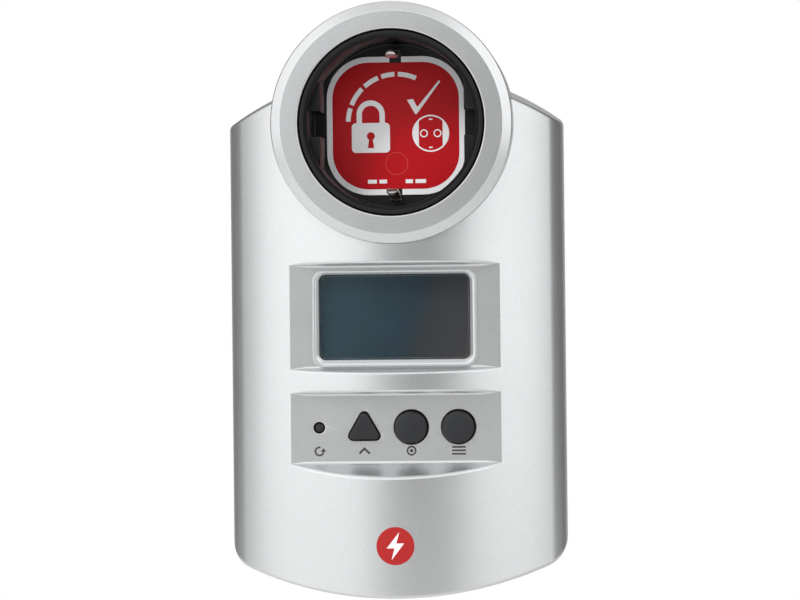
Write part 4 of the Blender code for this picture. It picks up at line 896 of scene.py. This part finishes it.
def housing_screw(name):
    """A cross-head screw whose head faces the back."""
    low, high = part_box(name)
    middle = (low + high) / 2
    radius, shank, height = (high.x - low.x) / 2, 1.3 * MM, 1.9 * MM
    under = high.y - height
    profile = [(0, high.y), (radius * 0.7, high.y - 0.05 * MM, 0.8 * MM),
               (radius, high.y - height * 0.45, 0.2 * MM), (radius, under), (shank, under),
               (shank, low.y + shank), (shank * 0.5, low.y), (0, low.y)]
    screw = lathe(f"{name}_fine", profile, (middle.x, 0, middle.z), 40)
    long, short, sink = radius * 0.55, 0.38 * MM, high.y - height * 0.65
    arms, corners = [], ((1, 1), (-1, 1), (-1, -1), (1, -1))
    for half_x, half_z in ((long, short), (short, long)):
        far = [(middle.x + u * half_x, middle.z + v * half_z) for u, v in corners]
        near = [(middle.x + u * half_x * 0.5, middle.z + v * half_z * 0.8) for u, v in corners]
        arms.append(solid("arm", [standing(near, sink), standing(far, high.y + 0.2 * MM)]))
    return reshade(boolean(screw, arms))


def rating_plate():
    """The sheet on the back and its ruled lines, which hold no words."""
    width, height = (side - 2 * GAP for side in RATING_POCKET)
    sheet = plate("rating_sheet", rounded_rectangle(width, height, RATING_CORNER, (0, RATING_Z), 8),
                  RATING_LOW.y, RATING_HIGH.y)
    middle = RATING_Z / MM
    border = [rounded_rectangle(*size, (0, middle)) for size in ((40.8, 26.8, 1.2), (40.2, 26.2, 0.9))]
    dashes = [stroke([(a, middle + rise), (b, middle + rise)], 0.9) for rise in (9.0, 5.6, 2.2, -1.2, -4.6)
              for a, b in ((-17.5, -6.0), (-3.5, 17.5 - abs(rise)))]
    rule = stroke([(-18.5, middle - 7.4), (18.5, middle - 7.4)], 0.25)
    rings = [outline for x in (-13.5, 13.5) for outline in ring((x, middle - 10.2), 1.5, 0.3)]
    shapes = in_mm([*border, rule, *dashes, *rings])
    return sheet, flat_shape("rating_lines", shapes, RATING_HIGH.y - INK_ROOT, RATING_HIGH.y + INK)


# Finishes ------------
def add_node(tree, kind, inputs, **settings):
    """A shader node with its settings, and its inputs linked to sockets or set to values."""
    made = tree.nodes.new("ShaderNode" + kind)
    for setting, value in settings.items():
        setattr(made, setting, value)
    for name, value in inputs.items():
        if isinstance(value, bpy.types.NodeSocket):
            tree.links.new(value, made.inputs[name])
        else:
            made.inputs[name].default_value = value
    return made


class Finish:
    """A Principled material whose textures lie in the object's own space, with sizes in metres."""

    def __init__(self, name, **settings):
        self.material = bpy.data.materials.new(name)
        self.material.use_nodes = True
        self.tree = self.material.node_tree
        self.shader = self.tree.nodes["Principled BSDF"]
        for setting, value in settings.items():
            self.shader.inputs[setting.replace("_", " ")].default_value = value
        self.place = self.node("TexCoord", {}).outputs["Object"]

    def node(self, kind, inputs, **settings):
        return add_node(self.tree, kind, inputs, **settings)

    def drive(self, setting, value):
        """Lets a texture set one of the shader's settings."""
        self.tree.links.new(value, self.shader.inputs[setting])
        return self

    def stretched(self, *scale):
        return self.node("Mapping", {"Vector": self.place, "Scale": scale}).outputs["Vector"]

    def noise(self, size, detail=2.0, place=None):
        inputs = {"Vector": place or self.place, "Scale": 1 / size, "Detail": detail}
        return self.node("TexNoise", inputs).outputs[0]

    def cells(self, size):
        return self.node("TexVoronoi", {"Vector": self.place, "Scale": 1 / size}).outputs["Color"]

    def bands(self, size):
        """Even bands across X. A wave texture of scale 1 repeats every pi/10."""
        inputs = {"Vector": self.place, "Scale": 0.314 / size}
        return self.node("TexWave", inputs).outputs["Fac"]

    def tones(self, value, *stops):
        """The base colour, from (place, colour) stops along a value."""
        ramp = self.node("ValToRGB", {"Fac": value})
        points = ramp.color_ramp.elements
        while len(points) < len(stops):
            points.new(0.5)
        for point, (place, colour) in zip(points, stops):
            point.position, point.color = place, (*colour, 1)
        return self.drive("Base Color", ramp.outputs["Color"])

    def mottled(self, value, colour, spread):
        """The base colour, a little darker and lighter where the value is low and high."""
        dark, light = ([min(c * (1 + side * spread), 1) for c in colour] for side in (-1, 1))
        return self.tones(value, (0.3, dark), (0.7, light))

    def gloss(self, value, low, high):
        """The roughness, from low to high along a value."""
        ranged = self.node("MapRange", {"Value": value, "To Min": low, "To Max": high})
        return self.drive("Roughness", ranged.outputs["Result"])

    def relief(self, value, depth):
        """Raises the surface where a value is high."""
        bump = self.node("Bump", {"Height": value, "Distance": depth, "Strength": 1.0})
        return self.drive("Normal", bump.outputs["Normal"])


def silver(name, tint):
    """Sprayed aluminium paint: fine flakes, faint clouds and a soft orange peel."""
    paint = Finish(name, Metallic=0.9, Coat_Weight=0.1, Coat_Roughness=0.25)
    low, high = ([level * part for part in tint] for level in (0.70, 0.80))
    paint.tones(paint.cells(0.14 * MM), (0.1, low), (0.9, high))
    return paint.gloss(paint.noise(7 * MM, 4), 0.28, 0.33).relief(paint.noise(1.1 * MM), 0.0015 * MM).material


def moulded(name, colour, rough, grain=0.22 * MM, depth=0.004 * MM, spread=0.12, **settings):
    """Moulded plastic or rubber: a fine spark-eroded grain over faint flow marks."""
    made = Finish(name, **settings)
    made.mottled(made.noise(4 * MM, 5), colour, spread)
    made.gloss(made.noise(1.4 * MM, 3), rough - 0.05, rough + 0.05)
    return made.relief(made.noise(grain), depth).material


def metal(name, colour, rough, along=(1, 0.08, 1)):
    """Drawn or rolled metal: fine lines along one direction, and a faint stain."""
    made = Finish(name, Metallic=1.0)
    lines = made.noise(0.12 * MM, 2, made.stretched(*along))
    made.mottled(made.noise(2.5 * MM, 4), colour, 0.1)
    return made.gloss(lines, rough - 0.06, rough + 0.08).relief(lines, 0.0012 * MM).material


def paper(name, colour, rough=0.45, spread=0.04):
    """Printed sheet: fine fibres under a satin varnish."""
    made = Finish(name, Specular_IOR_Level=0.25)
    fibres = made.noise(0.3 * MM, 4, made.stretched(1, 1, 0.35))
    made.mottled(fibres, colour, spread)
    return made.gloss(made.noise(3 * MM, 3), rough - 0.06, rough + 0.06).relief(fibres, 0.002 * MM).material


def clear(name):
    """Clear acrylic with faint smears."""
    pane = Finish(name, Transmission_Weight=1.0, IOR=1.49)
    pane.mottled(pane.noise(6 * MM, 3), (0.9, 0.95, 0.97), 0.015)
    return pane.gloss(pane.noise(3 * MM, 4, pane.stretched(1, 1, 0.4)), 0.01, 0.06).material


def lcd(name):
    """A blank display of dark teal glass, with a painted reflection: a warm grey that takes over along a
    diagonal towards its lower right.
    """
    glass = Finish(name, IOR=1.5)
    towards, middle = Vector((0.95, 0, -0.32)), Vector((6 * MM, 0, WINDOW_Z))
    across = glass.node("VectorMath", {0: glass.place, 1: towards}, operation="DOT_PRODUCT").outputs["Value"]
    turn, reach = towards.dot(middle), 16 * MM
    spread = {"Value": across, "From Min": turn - reach, "From Max": turn + reach}
    painted_reflection_share = glass.node("MapRange", spread).outputs["Result"]
    # painted reflection: the colour goes from the glass's teal at the upper left to a lighter warm grey at
    # the lower right, standing in for what the window reflects
    glass.tones(painted_reflection_share, (0.0, (0.058, 0.108, 0.130)), (0.42, (0.046, 0.080, 0.102)),
                (0.58, (0.084, 0.082, 0.087)), (1.0, (0.120, 0.104, 0.106)))
    return glass.gloss(glass.noise(5 * MM, 3), 0.16, 0.2).material


def board(name):
    """Green solder mask over copper tracks."""
    made = Finish(name)
    tracks = made.node("TexVoronoi", {"Vector": made.place, "Scale": 1 / (2.6 * MM)}, distance="MANHATTAN",
                       feature="F2").outputs["Distance"]
    made.tones(tracks, (0.55, (0.012, 0.11, 0.045)), (0.62, (0.02, 0.2, 0.08)), (0.7, (0.012, 0.12, 0.05)))
    return made.gloss(made.noise(2 * MM), 0.3, 0.42).relief(tracks, 0.02 * MM).material


def striped(name, colours, size, rough=0.5):
    """Two colours in bands across X, the second one raised."""
    made = Finish(name)
    bands = made.bands(size)
    made.tones(bands, (0.4, colours[0]), (0.6, colours[1]))
    return made.gloss(made.noise(1 * MM), rough - 0.05, rough + 0.05).relief(bands, 0.02 * MM).material


def fuse(name):
    """A glass tube with a metal cap at each end."""
    low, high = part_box("input_fuse")
    made = Finish(name, IOR=1.5)
    across = made.node("SeparateXYZ", {"Vector": made.place}).outputs["X"]
    ends = {"From Min": low.x, "From Max": high.x, "To Min": -1, "To Max": 1}
    away = made.node("MapRange", {"Value": across, **ends})
    away = made.node("Math", {0: away.outputs["Result"]}, operation="ABSOLUTE").outputs[0]
    cap = made.node("Math", {0: away, 1: 0.68}, operation="GREATER_THAN").outputs[0]
    made.tones(cap, (0.4, (0.85, 0.9, 0.9)), (0.6, (0.7, 0.68, 0.62)))
    made.drive("Metallic", cap)
    return made.gloss(made.noise(1 * MM), 0.06, 0.2).relief(cap, 0.15 * MM).material


SILVER = silver("silver_paint_fine", (0.975, 0.99, 1.0))
GREY = moulded("grey_plastic_fine", (0.40, 0.41, 0.42), 0.5, 0.35 * MM, 0.008 * MM, 0.04)
BLACK = moulded("black_plastic_fine", (0.008, 0.008, 0.009), 0.36, Specular_IOR_Level=0.32)
KEY = moulded("key_rubber_fine", (0.013, 0.014, 0.016), 0.45, 0.18 * MM, 0.003 * MM)
NICKEL = metal("nickel_fine", (0.74, 0.71, 0.65), 0.28)
BRASS = metal("brass_fine", (0.72, 0.52, 0.22), 0.3)
STEEL = metal("zinc_steel_fine", (0.62, 0.62, 0.6), 0.32, (1, 1, 0.1))
LABEL_WHITE = paper("label_white", (0.94, 0.93, 0.95))
LABEL_RED = paper("label_red", (0.52, 0.0015, 0.007), spread=0.08)
LABEL_FAINT = paper("label_faint", (0.66, 0.06, 0.04))
RATING = paper("rating_paper_fine", (0.74, 0.75, 0.75))
INK_GREY = paper("ink_grey", (0.055, 0.055, 0.06), 0.5, 0.1)
BADGE_RED = paper("badge_red", (0.42, 0.02, 0.02), 0.4, 0.06)
CLEAR = clear("window_clear_fine")
LCD = lcd("lcd_glass_fine")
BOARD = board("circuit_board_fine")
ELASTOMER = striped("elastomer_fine", ((0.75, 0.5, 0.55), (0.1, 0.08, 0.08)), 0.3 * MM)
WHITE_PLASTIC = moulded("white_plastic_fine", (0.74, 0.73, 0.69), 0.48, 0.3 * MM, 0.006 * MM, 0.05)
FILM = moulded("film_capacitor_fine", (0.5, 0.48, 0.1), 0.4, 0.5 * MM)
CAN = striped("capacitor_can_fine", ((0.02, 0.03, 0.12), (0.05, 0.06, 0.18)), 4 * MM, 0.3)
VARISTOR = moulded("blue_disc_fine", (0.02, 0.08, 0.45), 0.32, 0.9 * MM, 0.02 * MM)
EPOXY = moulded("chip_epoxy_fine", (0.012, 0.012, 0.012), 0.34, 0.3 * MM)
SLEEVE = moulded("battery_sleeve_fine", (0.05, 0.3, 0.12), 0.35, 1.5 * MM, 0.02 * MM)
BROWN = moulded("brown_wire_fine", (0.16, 0.06, 0.02), 0.42, 0.6 * MM, 0.01 * MM)
BLUE = moulded("blue_wire_fine", (0.02, 0.1, 0.5), 0.42, 0.6 * MM, 0.01 * MM)
RIBBON = striped("ribbon_fine", ((0.45, 0.45, 0.47), (0.3, 0.3, 0.32)), 1.3 * MM)
FUSE = fuse("fuse_glass_fine")

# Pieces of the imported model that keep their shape.
NODE_FINISHES = {
    "contact_block": WHITE_PLASTIC, "shutter": WHITE_PLASTIC,
    "neutral_contact": BRASS, "line_contact": BRASS, "earth_bridge": NICKEL, "lcd_glass": LCD,
    "lcd_frame": WHITE_PLASTIC, "zebra_strip_top": ELASTOMER, "zebra_strip_bottom": ELASTOMER,
    "display_board": BOARD, "main_board": BOARD, "film_capacitor": FILM, "smoothing_capacitor": CAN,
    "surge_varistor": VARISTOR, "backup_battery": SLEEVE, "input_fuse": FUSE, "current_shunt": NICKEL,
    "meter_chip": EPOXY, "quartz_crystal": STEEL, "ribbon_cable": RIBBON, "line_in_wire": BROWN,
    "line_out_wire": BROWN, "neutral_wire": BLUE,
    **{f"{name}_plunger": WHITE_PLASTIC for name in BUTTON_X},
    **{f"{name}_switch": EPOXY for name in BUTTON_X},
    **{f"display_screw_{index}": STEEL for index in range(1, 5)},
    **{f"main_screw_{index}": STEEL for index in range(1, 3)},
}


# Assembly ------------
def coat(obj, finish):
    obj.data.materials.clear()
    obj.data.materials.append(finish)


def dress(obj, finish, node=None, body="housing"):
    """Puts a finish on a piece, lets it ride on its body and, where it stands for a CAD node, hides that
    node.
    """
    coat(obj, finish)
    obj.modifiers.new("even_normals", "WEIGHTED_NORMAL").keep_sharp = True
    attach(obj, body)
    if node:
        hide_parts(node)


def assemble():
    """Makes every fine piece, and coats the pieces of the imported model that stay."""
    dress(front_cover(), SILVER, "front_shell")
    dress(socket_collar(), SILVER, "socket_collar")
    dress(socket_cup(), BLACK, "socket_insert")
    dress(rear_cover(), GREY, "rear_shell")
    dress(rear_plug(), BLACK, "plug_body")
    for side, end in ((1, "top"), (-1, "bottom")):
        dress(earth_strip(f"earth_clip_{end}", side), NICKEL, f"earth_strip_{end}")
    for side, pole in ((1, "line"), (-1, "neutral")):
        dress(plug_pin(f"{pole}_prong", side * PIN_X), NICKEL, f"{pole}_pin")
    for index in range(1, 5):
        name = f"housing_screw_{index}"
        dress(housing_screw(name), STEEL, name)
    spring, (spring_low, spring_high) = shutter_coil(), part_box("shutter_spring")
    dress(spring, STEEL, "shutter_spring")
    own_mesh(spring)
    dress(lens(), CLEAR, "window_lens")
    keys = {"set": round_key("set"), "func": round_key("func"), "up": triangle_key(), "reset": reset_key()}
    for name, cap in keys.items():
        dress(cap, KEY, f"{name}_key", f"{name}_button")
    sheet, field, signs, faint = safety_label()
    dress(sheet, LABEL_WHITE, "socket_label", "label")
    for print_layer, finish in ((field, LABEL_RED), (signs, LABEL_WHITE), (faint, LABEL_FAINT)):
        dress(print_layer, finish, body="label")
    dress(key_signs(), INK_GREY)
    disc, flash = badge()
    dress(disc, BADGE_RED)
    dress(flash, LABEL_WHITE)
    sheet, lines = rating_plate()
    dress(sheet, RATING, "rating_label")
    dress(lines, INK_GREY)
    for name, finish in NODE_FINISHES.items():
        coat(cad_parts[name], finish)


assemble()

# Studio ------------
# The soft light as a share of white, DIM where no region reaches: yaw and pitch of each region's middle as
# the object sees it, with yaw 0 to the front and growing to +X, then how far it reaches in full and where it
# ends, in degrees, and its level.
DIM = 0.12
LIGHT_REGIONS = [
    (0, 100, 15, 50, 0.6),
    (180, 0, 15, 45, 0.5),
    (0, 5, 61, 80, 1.35),
    (0, 66, 16, 34, 0.75),
    (7.4, -3, 8, 28, 0.05),
]
# The key light, a disc that faces the object: yaw and pitch as above, distance, diameter and watts.
KEY_DIRECTION = (-35, 42)
KEY_DISTANCE = 1.2
KEY_SIZE = 0.3
KEY_POWER = 9.0
FLOOR_Z = BOTTOM_Z - 150 * MM
FLOOR = ((-1.6, -2.2), (1.6, 0.55))
FLOOR_LEVEL = 0.8


def heading(yaw, pitch):
    """The direction from the object at a yaw and pitch in degrees."""
    yaw, pitch = radians(yaw), radians(pitch)
    return Vector((sin(yaw) * cos(pitch), -cos(yaw) * cos(pitch), sin(pitch)))


def studio_light():
    """A world that lights the object by regions, and looks white to the camera."""
    world = bpy.data.worlds.new("studio")
    world.use_nodes = True
    tree, level = world.node_tree, DIM
    direction = add_node(tree, "TexCoord", {}).outputs["Generated"]
    for yaw, pitch, near, far, target in LIGHT_REGIONS:
        inputs = {0: direction, 1: heading(yaw, pitch)}
        cosine = add_node(tree, "VectorMath", inputs, operation="DOT_PRODUCT").outputs["Value"]
        reach = {"From Min": cos(radians(far)), "From Max": cos(radians(near))}
        inputs = {"Value": cosine, **reach}
        share = add_node(tree, "MapRange", inputs, interpolation_type="SMOOTHSTEP").outputs["Result"]
        level = add_node(tree, "Mix", {"Factor": share, "A": level, "B": target}).outputs["Result"]
    seen = add_node(tree, "LightPath", {}).outputs["Is Camera Ray"]
    brightness = add_node(tree, "Mix", {"Factor": seen, "A": level, "B": 1.0}).outputs["Result"]
    background = tree.nodes["Background"]
    background.inputs["Color"].default_value = (1, 1, 1, 1)
    tree.links.new(brightness, background.inputs["Strength"])
    bpy.context.scene.world = world
    bpy.context.scene.view_settings.view_transform = "Standard"


def studio_floor():
    """A plain pale floor, well below the object."""
    (low_x, low_y), (high_x, high_y) = FLOOR
    skin = Skin()
    skin.face([(low_x, low_y, FLOOR_Z), (high_x, low_y, FLOOR_Z), (high_x, high_y, FLOOR_Z),
               (low_x, high_y, FLOOR_Z)])
    floor = skin.object("studio_floor")
    floor.data.materials.append(moulded("floor_pale", [FLOOR_LEVEL] * 3, 0.8, 3 * MM, 0.01 * MM, 0.01))


def key_light():
    """A soft light up and to the left of the camera. It shows neither in the picture nor in reflections."""
    data = bpy.data.lights.new("key_light", "AREA")
    data.shape, data.size, data.energy = "DISK", KEY_SIZE, KEY_POWER
    obj = placed("key_light", data)
    away = heading(*KEY_DIRECTION)
    obj.location = away * KEY_DISTANCE
    obj.rotation_euler = away.to_track_quat("Z", "Y").to_euler()
    obj.visible_camera = obj.visible_glossy = False


studio_light()
studio_floor()
key_light()

# Camera ------------
CAMERA_PLACE = Vector((61.5, -932.5, -43.4)) * MM
CAMERA_YAW, CAMERA_PITCH, CAMERA_ROLL = (radians(a) for a in (-3.919, 0.155, -0.61))
CAMERA_LENS, CAMERA_SENSOR = 170.75, 36      # both in millimetres


def camera():
    """The camera, from its place, its yaw and pitch, and its roll about the line of sight."""
    sight = Vector((sin(CAMERA_YAW) * cos(CAMERA_PITCH),
                    cos(CAMERA_YAW) * cos(CAMERA_PITCH), sin(CAMERA_PITCH)))
    level = Vector((cos(CAMERA_YAW), -sin(CAMERA_YAW), 0))
    upright = level.cross(sight)
    right = level * cos(CAMERA_ROLL) + upright * sin(CAMERA_ROLL)
    up = upright * cos(CAMERA_ROLL) - level * sin(CAMERA_ROLL)
    data = bpy.data.cameras.new("camera")
    data.lens, data.sensor_width = CAMERA_LENS, CAMERA_SENSOR
    data.clip_start, data.clip_end = 0.05, 20
    obj = placed("camera", data)
    obj.matrix_world = Matrix.Translation(CAMERA_PLACE) @ Matrix((right, up, -sight)).transposed().to_4x4()
    bpy.context.scene.camera = obj


camera()
